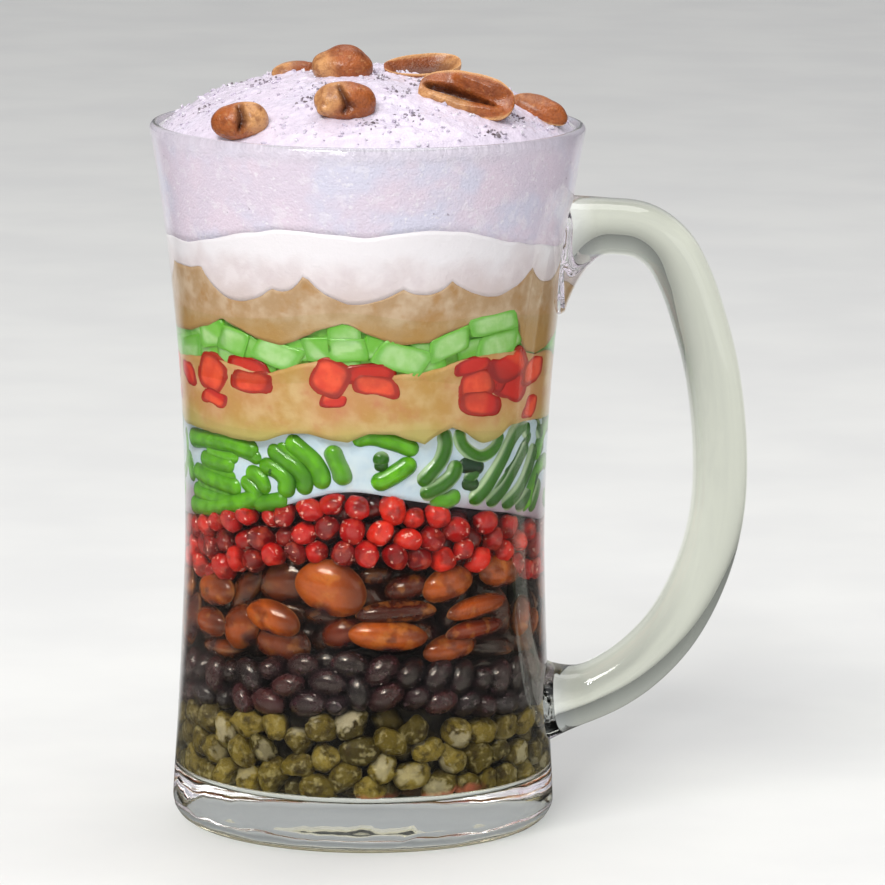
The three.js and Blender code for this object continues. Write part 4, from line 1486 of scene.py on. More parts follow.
STRAND_RING = 34.0
FRONT_STRANDS = (
    Strand(((-80, 83.6), (-63, 84.6), (-48, 84.8), (-37, 83.6)), 0.1, 2.4),
    Strand(((-27, 87.4), (-20.8, 85.0), (-16, 82.2), (-14.2, 79.6), (-15.3, 76.2)), 0.0, 2.3),
    Strand(((-34, 85.6), (-28, 83.2), (-22.2, 81.0), (-20.0, 78.4), (-22.0, 75.0)), 0.2, 2.3),
    Strand(((-38, 81.4), (-31, 80.6), (-26.8, 78.4), (-28.2, 74.6)), 0.1, 2.3),
    Strand(((-44, 79.8), (-37, 78.2), (-34.2, 74.8)), 0.3, 2.3),
    Strand(((-83, 80.6), (-79, 77.0), (-75.5, 74.2)), 0.1, 2.4),
    Strand(((-70, 80.2), (-58, 80.0), (-48, 80.2)), 0.3, 2.3),
    Strand(((-76, 77.0), (-60, 76.2), (-45, 75.6)), 0.0, 2.4),
    Strand(((-77, 72.8), (-60, 72.2), (-44, 73.0), (-37, 75.4)), 0.2, 2.3),
    Strand(((-80, 69.0), (-66, 68.6), (-52, 70.2)), 0.0, 2.3),
    Strand(((-66, 82.6), (-56, 82.0), (-46, 82.2)), 0.7, 2.0),
    Strand(((-70, 78.4), (-58, 78.0), (-46, 77.6)), 0.8, 2.0),
    Strand(((-74, 74.8), (-60, 74.2), (-48, 74.2)), 0.8, 2.0),
    Strand(((-78, 70.8), (-62, 70.2), (-48, 71.4)), 0.8, 2.0),
    Strand(((-31, 86.2), (-24, 84.0), (-19, 81.4)), 0.8, 1.9),
    Strand(((-46, 78.4), (-41, 76.0), (-37, 72.6)), 0.4, 2.3),
    Strand(((-42, 71.6), (-34, 72.2), (-26, 72.8)), 0.5, 2.3),
    Strand(((-52, 84.2), (-43, 83.6), (-36, 82.0)), 0.6, 2.0),
    Strand(((-60, 71.0), (-50, 70.2), (-41, 70.8)), 0.1, 2.4),
    Strand(((-31, 79.0), (-26, 76.6), (-25, 73.8)), 0.8, 1.9),
    Strand(((-11.2, 86.8), (-9.2, 83.6), (-7.2, 80.6), (-6.8, 77.2)), 0.0, 2.2, 0.3),
    Strand(((-4.6, 87.6), (2, 88.4), (11.2, 87.2), (19.2, 85.0)), 0.5, 2.1),
    Strand(((2.6, 84.0), (6.0, 83.8), (9, 83.4)), 0.3, 2.0, 0.6),
    Strand(((2.6, 78.2), (8.6, 79.8), (14.2, 82.0), (17.6, 83.8)), 0.0, 2.4),
    Strand(((19, 77.8), (22.9, 80.4), (27.0, 83.5), (28.3, 86.9), (26.8, 89.6)), 0.3, 2.0, 0.8),
    Strand(((19.5, 75.8), (26.4, 77.4), (31.6, 80.0), (32.8, 83.0)), 0.0, 2.0, 0.7),
    Strand(((23, 73.4), (29.4, 74.4), (34.6, 76.0)), 0.1, 2.0, 0.3),
    Strand(((36.0, 77.6), (40.0, 79.6), (43.0, 80.4)), 0.6, 1.9, 1.0),
    Strand(((32.4, 89.6), (35.2, 85.8), (42.0, 83.2), (48.4, 84.4), (52.0, 88.0)), 0.4, 1.8, 1.0),
    Strand(((38.5, 69.6), (44.4, 75.8), (52.4, 81.6), (58.0, 86.2), (64.4, 88.0), (68, 85.4)), 0.0, 2.0, 1.0),
    Strand(((46.4, 70.0), (53.5, 75.2), (61.4, 80.2), (68.0, 84.4)), 0.2, 2.0, 1.0),
    Strand(((54, 69.6), (62.2, 74.0), (70, 79.2), (74, 83.4)), 0.0, 2.0, 1.0),
    Strand(((62, 68.6), (71, 73.0), (78, 77.6)), 0.2, 2.0, 0.9),
    Strand(((72, 68.6), (78, 72.0), (82, 75.0)), 0.2, 2.0, 0.9),
    Strand(((76, 87.0), (80, 84.0), (82, 80.0)), 0.2, 2.0, 0.9),
    Strand(((49, 73.4), (57, 78.6), (65, 83.0), (71, 86.6)), 0.9, 1.8, 1.0),
    Strand(((33.0, 82.0), (38.0, 81.4), (45.0, 80.4)), 0.5, 2.0, 0.0, 1.0),
    Strand(((34.5, 78.0), (39.0, 77.4), (43.0, 76.4)), 0.7, 1.8, 0.0, 0.9),
    Strand(((3.4, 83.0), (5.6, 82.6), (8.6, 82.4)), 0.6, 1.5, 0.0, 0.8),
    Strand(((-33.6, 80.6), (-32.0, 80.4), (-30.6, 80.0)), 0.05, 1.2, 0.0, 0.7),
    Strand(((54, 78.0), (62, 82.6), (70, 86.0)), 1.0, 1.6, 0.0, 0.7),
)


@dataclass
class PandanJelly:
    """Strands of pandan jelly in coconut milk."""

    bottom: Edge = Edge.PANDAN
    top: Edge = Edge.LOWER_PASTE
    sides: int = 14
    steps: int = 38
    behind: int = 34
    seed: int = 1100
    milk_reach: float = -1.5

    def strewn(self) -> list[Strand]:
        """Strands for the sides and the back, in hooks and hairpins."""
        draw = np.random.default_rng(self.seed)
        strands = []
        for i in range(self.behind):
            angle = math.radians(88 + 184 * (i + 0.5 * draw.random()) / self.behind)
            share = (0.16, 0.5, 0.84)[i % 3]
            low, high = self.bottom.at(angle), self.top.at(angle)
            height = low + 2.4 + (high - low - 4.8) * share
            heading = draw.uniform(-0.7, 0.7) + (math.pi if draw.random() < 0.4 else 0)
            curl = draw.choice([-1, 1]) * draw.uniform(1.2, 3.6)
            length = draw.uniform(17, 26)
            spots = []
            for _ in range(7):
                spots.append((math.degrees(angle), float(height)))
                angle += math.cos(heading) * length / 6 / STRAND_RING
                height += math.sin(heading) * length / 6
                heading += curl / 6
            strands.append(Strand(tuple(spots), float(draw.choice([0.0, 0.2, 0.9]))))
        return strands

    def strand_shape(self, strand: Strand, number: int) -> Shape:
        """One strand as a closed tube with round ends.

        Args:
            strand: The strand.
            number: Its number, for its tint and unevenness.

        Returns:
            The shape with its marks.
        """
        spots = np.array(strand.spots)
        angle = np.radians(spots[:, 0])
        low = self.bottom.at(angle) + strand.radius * 0.7
        high = PASTE_FOOT.at(angle) + strand.radius * 0.1
        height = np.clip(spots[:, 1], low, high)
        flat = np.stack([angle * STRAND_RING, np.zeros_like(angle), height], axis=1)
        line = smooth_line(flat, self.steps)
        share = np.linspace(0, 1, self.steps + 1)
        total = np.linalg.norm(np.diff(line, axis=0), axis=1).sum()
        from_end = np.minimum(share, 1 - share) * total / strand.radius
        taper = np.sqrt(np.clip(1 - np.clip(1 - from_end, 0, 1) ** 2, 0.02, 1))
        wobble = 1 + 0.07 * soft_noise(line + number * 11.3, 4.0, 3.0, 2)
        girth = strand.radius * taper * wobble
        around, up = line[:, 0] / STRAND_RING, line[:, 2]
        radius = MUG.inner_radius(up) - 0.1 - strand.inset - strand.radius
        middle = on_ring(around, radius, up)
        along = np.gradient(middle, axis=0)
        along /= np.linalg.norm(along, axis=1)[:, None]
        out = on_ring(around, np.ones_like(around), np.zeros_like(around))
        across = np.cross(along, out)
        turn = ring_angles(self.sides)
        offset = np.cos(turn)[None, :, None] * across[:, None] + np.sin(turn)[None, :, None] * out[:, None]
        rings = middle[:, None] + offset * girth[:, None, None]
        made = skin(rings, middle[0] - along[0] * 0.05, middle[-1] + along[-1] * 0.05)
        tone = 0.55 + 0.45 * cell_values(np.array([[number, 0, 0]]), 4.0)[0] - 0.55 * strand.pale
        # The sides of each strand are marked: painted shade there, or the pale outline on pale strands.
        rim = np.broadcast_to(np.abs(np.cos(turn))[None] ** 1.8, rings.shape[:2]).reshape(-1)
        rim = np.concatenate([rim, [1, 1]])
        return made.marked(tint=tone, pale=strand.pale, shade=strand.shade, edge=rim)

    def build(self, jelly: bpy.types.Material, milk: bpy.types.Material) -> None:
        """Builds the strands and the milk that they lie in.

        Args:
            jelly: The strands' material.
            milk: The milk's material.
        """
        strands = [*FRONT_STRANDS, *self.strewn()]
        shape = joined([self.strand_shape(strand, i) for i, strand in enumerate(strands)])
        dress(make_object("pandan_strands", shape), jelly, "pandan", "pandan_jelly")
        core = HeapCore(
            self.bottom, self.top, self.milk_reach, lumps=0.45, lump_size=6.0, low_lift=0.3, high_drop=-1.6
        )
        core.build("coconut_milk", milk, "pandan")


# Jelly cubes


@dataclass(frozen=True)
class CubeSpot:
    """Where one jelly cube lies against the glass, in degrees and millimetres.

    The turn is round the mug, the height is its middle's, and the tilt is how far it is turned up
    from level. The inset is how far in from the glass it is, and the tint how pale, 0 to 1.
    """

    turn: float
    height: float
    tilt: float = 0.0
    length: float = 9.0
    width: float = 6.0
    inset: float = 0.0
    tint: float = 0.5


@dataclass
class JellyCubes:
    """Cut cubes of jelly that are pressed against the glass, which flattens their rounded fronts.

    Softness is how far their edges are rounded, as a share of their half size. Squareness is the
    power of the rounded form: 2 for a ball, more for a squarer one.
    """

    name: str
    node: str
    depth: float = 6.0
    reach: float = 0.12
    pressed: float = 0.6
    softness: float = 0.45
    squareness: float = 5.0
    unevenness: float = 0.3
    cells: int = 8
    seed: int = 1300

    def cube(self, spot: CubeSpot, number: int) -> Shape:
        """One cube.

        Args:
            spot: Where it lies and how large it is.
            number: Its number, for its unevenness.

        Returns:
            The shape with its marks.
        """
        draw = np.random.default_rng(self.seed + number)
        base = cube_shell(self.cells)
        unit = base.points.copy()
        rounded = unit / np.linalg.norm(unit, ord=self.squareness, axis=1)[:, None]
        unit = unit * (1 - self.softness) + rounded * self.softness
        skew = draw.uniform(-0.2, 0.2, 4)
        unit[:, 0] += skew[0] * unit[:, 1] + skew[1] * unit[:, 2]
        unit[:, 1] += skew[2] * unit[:, 0] + skew[3] * unit[:, 2] * 0.6
        points = unit * np.array([spot.length * 1.1, spot.width * 1.12, self.depth]) / 2
        points += self.unevenness * soft_noise(points + number * 7.1, 3.4, 4.0, 2)[:, None] * unit
        angle = np.array([math.radians(spot.turn)])
        turn = facing_glass(angle, np.array([math.radians(spot.tilt)]))[0]
        front = MUG.inner_radius(spot.height) + self.reach - spot.inset
        place = on_ring(angle, np.array([front + self.pressed - self.depth / 2]), np.array([spot.height]))[0]
        points = points @ turn.T + place
        reach = np.hypot(points[:, 0], points[:, 1])
        limit = MUG.inner_radius(points[:, 2]) + self.reach - spot.inset + 0.006 * (number % 23)
        points[:, :2] *= np.minimum(1, limit / reach)[:, None]
        face = base.points[:, :2]
        # Painted shade: the border of each cube's face is marked to darken.
        rim = np.clip((np.linalg.norm(face, ord=4, axis=1) - 0.62) / 0.36, 0, 1)
        fold = face @ draw.normal(size=2) + draw.uniform(-0.4, 0.4)
        tint = np.clip(spot.tint + 0.24 * np.clip(4 * fold, -1, 1), 0, 1)
        return Shape(points, base.faces).marked(edge=rim, tint=tint)

    def build(self, spots: list[CubeSpot], material: bpy.types.Material) -> None:
        """Builds all the cubes as one mesh and dresses it."""
        shape = joined([self.cube(spot, i) for i, spot in enumerate(spots)])
        dress(make_object(self.name, shape), material, self.node, self.node)


FRONT_GREEN_CUBES = (
    (-69, 103.8, 8, 9.0, 5.0, 0.1, 0.55), (-75, 105.6, 0, 8.0, 4.6, 0.3, 0.3),
    (-63, 107.0, 14, 8.4, 4.4, 0.3, 0.45), (-54, 108.4, 16, 8.0, 5.4, 0.0, 0.6),
    (-57, 104.2, -6, 7.6, 4.6, 0.4, 0.35), (-45.5, 107.4, -8, 7.4, 5.0, 0.0, 0.75),
    (-46, 103.9, -4, 7.4, 3.8, 0.3, 0.4), (-38, 106.2, -24, 6.6, 4.6, 0.3, 0.3),
    (-27.2, 105.4, -20, 9.6, 5.0, 0.0, 0.98), (-20.5, 107.2, 0, 6.6, 4.2, 0.4, 0.4),
    (-14, 106.9, 8, 6.6, 4.8, 0.2, 0.55), (-6.2, 110.2, 10, 6.6, 4.4, 0.1, 0.5),
    (-4, 107.2, -4, 7.2, 4.6, 0.0, 0.72), (-6, 104.4, -8, 7.4, 3.4, 0.3, 0.4),
    (3.4, 107.6, -26, 5.6, 4.6, 0.3, 0.45), (11.6, 105.5, -22, 10.2, 5.2, 0.0, 1.0),
    (19.6, 106.4, 4, 6.4, 4.4, 0.4, 0.4), (21.5, 104.2, 8, 6.8, 3.2, 0.2, 0.35),
    (27.6, 107.9, 20, 8.8, 4.6, 0.0, 0.9), (35.6, 106.2, 6, 6.6, 4.4, 0.4, 0.35),
    (43.0, 111.4, 3, 12.0, 3.8, 0.0, 0.95), (44.6, 107.2, 8, 10.0, 4.8, 0.1, 0.85),
    (52.0, 108.6, -60, 5.4, 4.0, 0.4, 0.5), (-38.5, 102.6, -12, 10.0, 2.6, 0.5, 0.1),
    (2.4, 103.2, -12, 9.4, 2.8, 0.5, 0.1),
)


def green_spots(seed: int) -> list[CubeSpot]:
    """The green cubes: those seen at the front, and a double row round the sides and back.

    Args:
        seed: Seeds the random draws.

    Returns:
        Where they lie.
    """
    spots = [CubeSpot(*row) for row in FRONT_GREEN_CUBES]
    draw = np.random.default_rng(seed)
    count = 38
    for i in range(count):
        turn = 84 + 196 * (i + 0.5) / count
        angle = np.array([math.radians(turn)])
        low, high = float(GREEN_FOOT.at(angle)[0]), float(GREEN_TOP.at(angle)[0])
        height = low + (high - low) * (0.3 if i % 2 else 0.72)
        tilt, length, width = draw.uniform(-22, 22), draw.uniform(6.6, 9.8), draw.uniform(4.2, 5.6)
        inset, tint = draw.choice([0.0, 0.2, 0.4]), draw.uniform(0.25, 1.0)
        spots.append(CubeSpot(turn, height, tilt, length, width, float(inset), tint))
    return spots


FRONT_RED_CUBES = (
    (-55.6, 100.0, 62, 8.8, 8.8, 0.0, 0.9), (-40.4, 101.2, -8, 11.6, 5.4, 0.04, 0.1),
    (-38.0, 99.2, -6, 10.0, 5.0, 0.0, 0.8), (-56.2, 94.2, -3, 9.0, 3.8, 0.0, 0.5),
    (-10.2, 101.0, 66, 7.8, 7.6, 0.0, 0.92), (1.8, 101.8, -8, 10.0, 4.4, 0.04, 0.08),
    (2.4, 99.7, -6, 9.2, 4.4, 0.0, 0.85), (-8.8, 96.4, -3, 6.0, 3.2, 0.03, 0.6),
    (51.6, 102.0, 18, 11.6, 6.6, 0.0, 0.35), (37.6, 99.2, 5, 9.4, 6.0, 0.0, 0.55),
    (52.6, 97.8, -22, 11.0, 6.6, 0.03, 0.0), (41.3, 94.6, -5, 10.8, 5.6, 0.0, 0.4),
    (65.6, 99.8, 0, 9.0, 6.0, 0.0, 0.95), (65.4, 92.6, 75, 6.4, 5.4, 0.03, 0.6),
    (36.0, 102.9, 6, 9.0, 3.4, 0.04, 0.2), (45.4, 100.2, -40, 6.6, 5.0, 0.06, 0.05),
)
RED_GROUP = ((-6, -2.4, 68, 6.4, 6.2, 0.9), (9, -3.4, -8, 8.8, 4.4, 0.3), (-6.5, -8.0, -3, 6.4, 2.6, 0.5))
RED_GROUP_TURNS = (100, 142, 196, 238, 278)


def red_spots() -> list[CubeSpot]:
    """The red cubes: groups that hang under the green ones."""
    spots = [CubeSpot(*row) for row in FRONT_RED_CUBES]
    for turn, (aside, drop, tilt, length, width, tint) in product(RED_GROUP_TURNS, RED_GROUP):
        angle = np.array([math.radians(turn + aside)])
        height = float(GREEN_FOOT.at(angle)[0]) + drop
        spots.append(CubeSpot(turn + aside, height, tilt, length, width, 0.0, tint))
    return spots


# Pastes and the lines between them


@dataclass(frozen=True)
class SeenEdge:
    """A boundary drawn through spots in degrees round and heights, with a wavy one behind.

    It strays from the spots by the fray either way.
    """

    spots: tuple[tuple[float, float], ...]
    edge: Edge
    fray: float = 0.4
    fray_size: float = 3.0
    seed: float = 0.0

    def at(self, angle: Array, share: Array | float = 1.0) -> Array:
        """The height at an angle, for a share of the way from the axis to the glass."""
        degrees = (np.degrees(angle) + 180) % 360 - 180
        turns, heights = np.array(self.spots).T
        front = np.interp(degrees, turns, heights)
        beyond = np.maximum(turns[0] - degrees, degrees - turns[-1])
        fade = np.clip(beyond / 18, 0, 1)
        curve = front * (1 - fade) + self.edge.at(angle) * fade
        curve = curve + self.fray * soft_noise(on_ring(angle, 36.0, 0.0), self.fray_size, self.seed, 2)
        middle = self.edge.value.height
        return middle + share * (curve - middle)


GREEN_TOP = SeenEdge(
    (
        (-84, 107.0), (-68, 107.6), (-55, 110.2), (-49, 111.6), (-42, 110.4), (-34, 108.2), (-27, 107.6),
        (-21, 108.8), (-14, 111.2), (-6, 112.8), (1, 110.8), (6, 109.2), (12, 108.2), (20, 108.6),
        (26, 110.4), (32, 111.6), (36, 113.2), (50, 113.2), (54, 112.2), (57, 107.0), (60, 104.4),
        (66, 103.4), (74, 104.2),
    ),
    Edge.UPPER_PASTE,
    seed=13.0,
)
GREEN_FOOT = SeenEdge(
    (
        (-84, 101.0), (-60, 102.6), (-49, 102.8), (-41, 101.6), (-31, 101.4), (-22, 103.4), (-15, 104.4),
        (-5, 103.4), (2, 102.0), (9, 101.7), (16, 102.0), (22, 103.0), (32, 104.4), (41, 104.9),
        (53, 105.0), (57, 104.4), (66, 103.2), (74, 103.6),
    ),
    Edge.GREEN,
    seed=17.0,
)
PASTE_FOOT = SeenEdge(
    (
        (-80, 86.6), (-62, 86.8), (-50, 86.6), (-40, 86.2), (-33, 86.8), (-26, 88.6), (-19, 89.2),
        (-12, 88.0), (-5, 87.6), (2, 89.4), (11, 89.0), (20, 87.0), (24, 88.8), (30, 90.4), (36, 88.2),
        (42, 86.0), (49, 86.8), (54, 89.0), (62, 89.4), (76, 88.6),
    ),
    Edge.LOWER_PASTE,
    0.3,
    seed=21.0,
)


@dataclass(frozen=True)
class CreamEdge:
    """The cream's lower edge: round lobes that hang side by side from a notch height.

    Each lobe is its middle and half width in degrees round, and its lowest height.
    """

    lobes: tuple[tuple[float, float, float], ...] = (
        (-68, 16, 121.4), (-41, 17, 116.2), (-25.5, 8.5, 119.0), (-1.5, 17.5, 116.9), (18, 11, 118.6),
        (41.5, 18, 117.6), (69, 12, 118.6),
    )
    notch: float = 124.4
    middle: float = 119.0
    seed: int = 77
    start: float = 84.0
    end: float = 272.0

    def strewn(self) -> list[tuple[float, float, float]]:
        """The lobes round the sides and the back."""
        draw = np.random.default_rng(self.seed)
        lobes = []
        turn = self.start
        while turn < self.end:
            half = float(draw.uniform(9, 16))
            lobes.append((turn + half * 0.8, half, float(draw.uniform(115.8, 119.0))))
            turn += 1.5 * half
        return lobes

    def at(self, angle: Array, share: Array | float = 1.0) -> Array:
        """The height at an angle, for a share of the way from the axis to the glass."""
        degrees = (np.degrees(angle) + 180) % 360 - 180
        edge = np.full(np.shape(angle), self.notch)
        for turn, half, low in (*self.lobes, *self.strewn()):
            off = np.abs((degrees - turn + 180) % 360 - 180) / half
            bowl = low + (self.notch - low) * (1 - np.clip(1 - off**2, 0, 1) ** 0.75)
            edge = np.minimum(edge, np.where(off < 1, bowl, self.notch))
        edge = edge + 0.4 * soft_noise(on_ring(angle, 36.0, 0.0), 3.4, 31.0, 3)
        return self.middle + share * (edge - self.middle)


@dataclass(frozen=True)
class IceFoot:
    """The line where the cream ends and the ice begins, with soft folds."""

    def at(self, angle: Array, share: Array | float = 1.0) -> Array:
        """The height at an angle, for a share of the way from the axis to the glass."""
        spots = on_ring(angle, 38.0, 0.0)
        folds = 1.0 * soft_noise(spots, 9.0, 41.0, 2) + 0.5 * np.abs(soft_noise(spots, 14.0, 43.0, 1))
        return Edge.ICE.at(angle, share) + share * folds


CREAM_EDGE = CreamEdge()
ICE_FOOT = IceFoot()


@dataclass
class LowerPaste(LayerBody):
    """The lower bean paste, which the red cubes stain."""

    def shape(self) -> Shape:
        """The closed shape, marked where the red cubes stain it."""
        made = super().shape()
        turn = np.degrees(angle_of(made.points))
        stain = np.zeros(len(turn))
        for spot in red_spots():
            around = ((turn - spot.turn + 180) % 360 - 180) * 0.62
            away = np.hypot(around, made.points[:, 2] - spot.height)
            stain = np.maximum(stain, np.exp(-((away / 5.6) ** 2)))
        return made.marked(stain=stain)


# Shaved ice


@dataclass(frozen=True)
class Mound:
    """The heap of ice above the rim, in millimetres."""

    edge_height: float = 149.4
    height: float = 12.3
    radius: float = 44.0
    fullness: float = 2.3

    def at(self, x: Array, y: Array) -> Array:
        """Its height over a spot."""
        share = np.minimum(1, np.hypot(x, y) / self.radius)
        return self.edge_height + self.height * (1 - share**self.fullness)


MOUND = Mound()


@dataclass
class ShavedIce:
    """Shaved ice that fills the mug's flared top and heaps above its rim."""

    columns: int = 320
    side_rows: int = 12
    mound_rows: int = 72
    reach: float = 0.09
    grains: int = 900
    cluster: int = 20
    speck_spots: tuple[tuple[float, float], ...] = (
        (-30, -22), (-34, -12), (-21, -6), (-12, -25), (-9, -19), (3, -12), (7, -22), (9, -31),
        (12, -15), (27, -31), (31, -20), (1, -36), (-15, 14), (10, 18), (26, 8), (-28, 8),
    )
    seed: int = 2100

    def body(self) -> Shape:
        """The ice's body with its crumbly mound, marked for painted shade between its grains above the rim.
        """
        angle = ring_angles(self.columns)
        rings = []
        for share in (0.3, 0.6, 0.85):
            height = ICE_FOOT.at(angle, share) + 0.04
            rings.append(on_ring(angle, share * MUG.inner_radius(height), height))
        low = ICE_FOOT.at(angle) + 0.04
        rim = MUG.height - 1.3
        for step in np.linspace(0, 1, self.side_rows):
            height = low + step * (rim - low)
            rings.append(on_ring(angle, MUG.inner_radius(height) + self.reach, height))
        mouth = float(MUG.inner_radius(MUG.height - 1.2))
        for step in range(self.mound_rows):
            share = 1 - step / self.mound_rows
            radius = (mouth - 0.5) * share
            flat = on_ring(angle, radius, 0.0)
            height = MOUND.at(flat[:, 0], flat[:, 1])
            flat[:, 2] = height
            rough = self.roughness(flat)
            fade = np.clip((1 - share) / 0.05, 0, 1)
            flat[:, 2] += rough * (0.35 + 0.65 * fade) - 0.7 * (1 - fade)
            rings.append(flat)
        top = np.array([0, 0, rings[-1][:, 2].mean()])
        first = np.array([0, 0, float(ICE_FOOT.at(np.zeros(1), 0.0)[0])])
        made = skin(np.array(rings), first, top)
        # Painted shade: the borders between grains above the rim are marked to darken.
        crevice_shade = np.zeros(len(made.points))
        above = made.points[:, 2] > MUG.height - 3
        crevice_shade[above] = 1 - np.clip(grain_noise(made.points[above], 2.6, 3.0) / 0.35, 0, 1)
        return made.marked(edge=crevice_shade)

    def roughness(self, points: Array) -> Array:
        """How far the crumbly surface stands above or below the mound."""
        lumps = 0.95 * soft_noise(points, 8.0, 51.0, 3)
        grains = np.clip(grain_noise(points, 2.6, 3.0), 0, 0.7)
        fine = np.clip(grain_noise(points, 1.2, 8.0), 0, 0.7)
        return lumps + 0.45 * (grains - 0.35) + 0.3 * (fine - 0.3)

    def crystals(self) -> Shape:
        """Loose crystals of ice on the mound, with small clusters of grey-brown specks."""
        draw = np.random.default_rng(self.seed)
        mouth = float(MUG.inner_radius(MUG.height)) - 1.4
        turn = draw.uniform(0, FULL_TURN, self.grains)
        reach = mouth * np.sqrt(draw.random(self.grains))
        flat = np.stack([reach * np.sin(turn), -reach * np.cos(turn)], axis=1)
        sizes = draw.uniform(0.22, 0.7, self.grains)
        groups = [spot + draw.normal(0, 1.5, (self.cluster, 2)) for spot in self.speck_spots]
        flat = np.concatenate([flat, *groups])
        dark = np.concatenate([np.zeros(self.grains), np.ones(len(flat) - self.grains)])
        sizes = np.concatenate([sizes, draw.uniform(0.2, 0.5, len(flat) - self.grains)])
        base = ball(1)
        shapes = []
        for spot, size, shade in zip(flat, sizes, dark):
            place = np.array([[spot[0], spot[1], MOUND.at(*spot)]])
            place[0, 2] += float(self.roughness(place)[0]) + draw.uniform(-0.4, 0.35) * size
            form = size * np.array([draw.uniform(0.8, 1.5), draw.uniform(0.6, 1), draw.uniform(0.4, 0.8)])
            jag = 1 + 0.25 * draw.uniform(-1, 1, len(base.points))
            made = Shape(base.points * jag[:, None] * form, base.faces)
            made = made.placed(turns_for(draw.normal(0, 1.4, (1, 3)))[0], place[0])
            shapes.append(made.marked(tint=shade * draw.uniform(0.4, 1)))
        return joined(shapes)

    def build(self, body: bpy.types.Material, crystal: bpy.types.Material) -> None:
        """Builds the ice and its crystals.

        Args:
            body: The ice's material.
            crystal: The crystals' material.
        """
        dress(make_object("shaved_ice_heap", self.body()), body, "ice", "shaved_ice")
        dress(make_object("ice_crystals", self.crystals(), smooth=False), crystal, "ice")


# Peanuts


@dataclass(frozen=True)
class Crease:
    """A groove in a kernel, or a swelling on it where its depth is less than 0, along a line.

    The spots and the half width at each are shares of the kernel's half sizes along, across and up.
    Shade is how far the line takes the hollow's colour, 0 to 1: painted shade along a groove, a darker
    skin along a swelling.
    """

    spots: tuple[tuple[float, float, float, float], ...]
    depth: float
    shade: float = 1.0

    def strength(self, points: Array) -> Array:
        """How strongly it acts at points.

        Args:
            points: The kernel's points in shares of its half sizes, n by 3.

        Returns:
            One number from 0 to 1 for each point.
        """
        most = np.zeros(len(points))
        spots = np.array(self.spots)
        for start, end in zip(spots[:-1], spots[1:]):
            way = end[:3] - start[:3]
            share = np.clip((points - start[:3]) @ way / (way @ way), 0, 1)
            away = np.linalg.norm(points - start[:3] - share[:, None] * way, axis=1)
            near = np.clip(1 - away / (start[3] + share * (end[3] - start[3])), 0, 1)
            most = np.maximum(most, near * near * (3 - 2 * near))
        return most


class NutKind(Enum):
    """How much of the kernel is there."""

    WHOLE = "whole"
    HALF = "half"


@dataclass(frozen=True)
class Peanut:
    """One roasted peanut on the ice, in millimetres and degrees.

    The lift is how far its middle is above the mound, and the lean how far its far end is raised. A
    half kernel's inner face is a dish, with a depth that is a share of its height. Each kernel is
    painted lighter towards one side in its own frame, as painted light.
    """

    x: float
    y: float
    lift: float
    size: tuple[float, float, float]
    turn: float
    lean: float
    roll: float
    kind: NutKind
    dish: float = 0.4
    creases: tuple[Crease, ...] = ()
    painted_lit_side: tuple[float, float, float] = (0.0, 0.0, 0.6)

    def shape(self, number: int) -> Shape:
        """The kernel's shape in place.

        Args:
            number: Its number, for its unevenness.

        Returns:
            The shape with its marks.
        """
        columns, rows = 76, 46
        turn = ring_angles(columns)
        band = np.linspace(0, math.pi, rows + 2)[1:-1]
        along = -np.cos(band)[:, None]
        girth = (np.sin(band)[:, None] ** 0.8) * (1 + 0.1 * along)
        side, rise, along, girth = np.broadcast_arrays(np.cos(turn)[None], np.sin(turn)[None], along, girth)
        inner = np.zeros(rise.shape, bool)
        hollow = np.zeros(rise.shape)
        rim = np.zeros(rise.shape)
        if self.kind is NutKind.HALF:
            inner = rise < 0
            spread = np.clip(1 - side**2, 0, 1)
            bowl = self.dish * spread**0.8 * np.clip(1 - along**4, 0, 1)
            rise = np.where(inner, rise * 0.12 + bowl, rise)
            # Painted shade: a half kernel's dish darkens towards its middle.
            hollow = np.where(inner, np.clip(1.5 * self.dish * spread * (1 - along**2), 0, 1), 0)
            rim = np.where(np.abs(rise - bowl * inner) < 0.16, np.clip(1 - 3.2 * spread, 0, 1), 0)
        half = np.array(self.size) / [2, 2, 1 if self.kind is NutKind.HALF else 2]
        unit = np.stack([along, side * girth, rise * girth], axis=-1)
        made = skin(unit, np.array([-0.995, 0, 0]), np.array([0.995, 0, 0]))
        unit = made.points.copy()
        ends = [0, 0]
        inner, hollow, rim = (np.concatenate([part.reshape(-1), ends]) for part in (inner, hollow, rim))
        made.points *= half
        way = unit / (np.linalg.norm(unit, axis=1)[:, None] + 1e-9)
        pushed = np.where(inner[:, None] > 0, -UP, way)
        for crease in self.creases:
            strength = crease.strength(unit)
            made.points -= pushed * (crease.depth * strength)[:, None]
            # Painted shade along grooves; a darker skin along swellings.
            hollow = np.maximum(hollow, strength**0.6 * crease.shade)
        dents = 0.32 * soft_noise(made.points + number * 9.7, 4.2, 61.0, 2)
        folds = 1 - 2 * np.abs(soft_noise(made.points * [0.45, 1, 1] + number * 5.1, 1.7, 67.0, 2))
        made.points += way * (dents + 0.07 * folds)[:, None]
        # Painted light: the kernel is lighter towards its lit side.
        pale = np.clip(way @ np.array(self.painted_lit_side), 0, 1)
        made.marked(edge=hollow, rim=rim, tint=pale, fold=folds)
        turned_to = turned("z", self.turn) @ turned("y", -self.lean) @ turned("x", self.roll)
        height = float(MOUND.at(self.x, self.y)) + self.lift
        return made.placed(turned_to, np.array([self.x, self.y, height]))


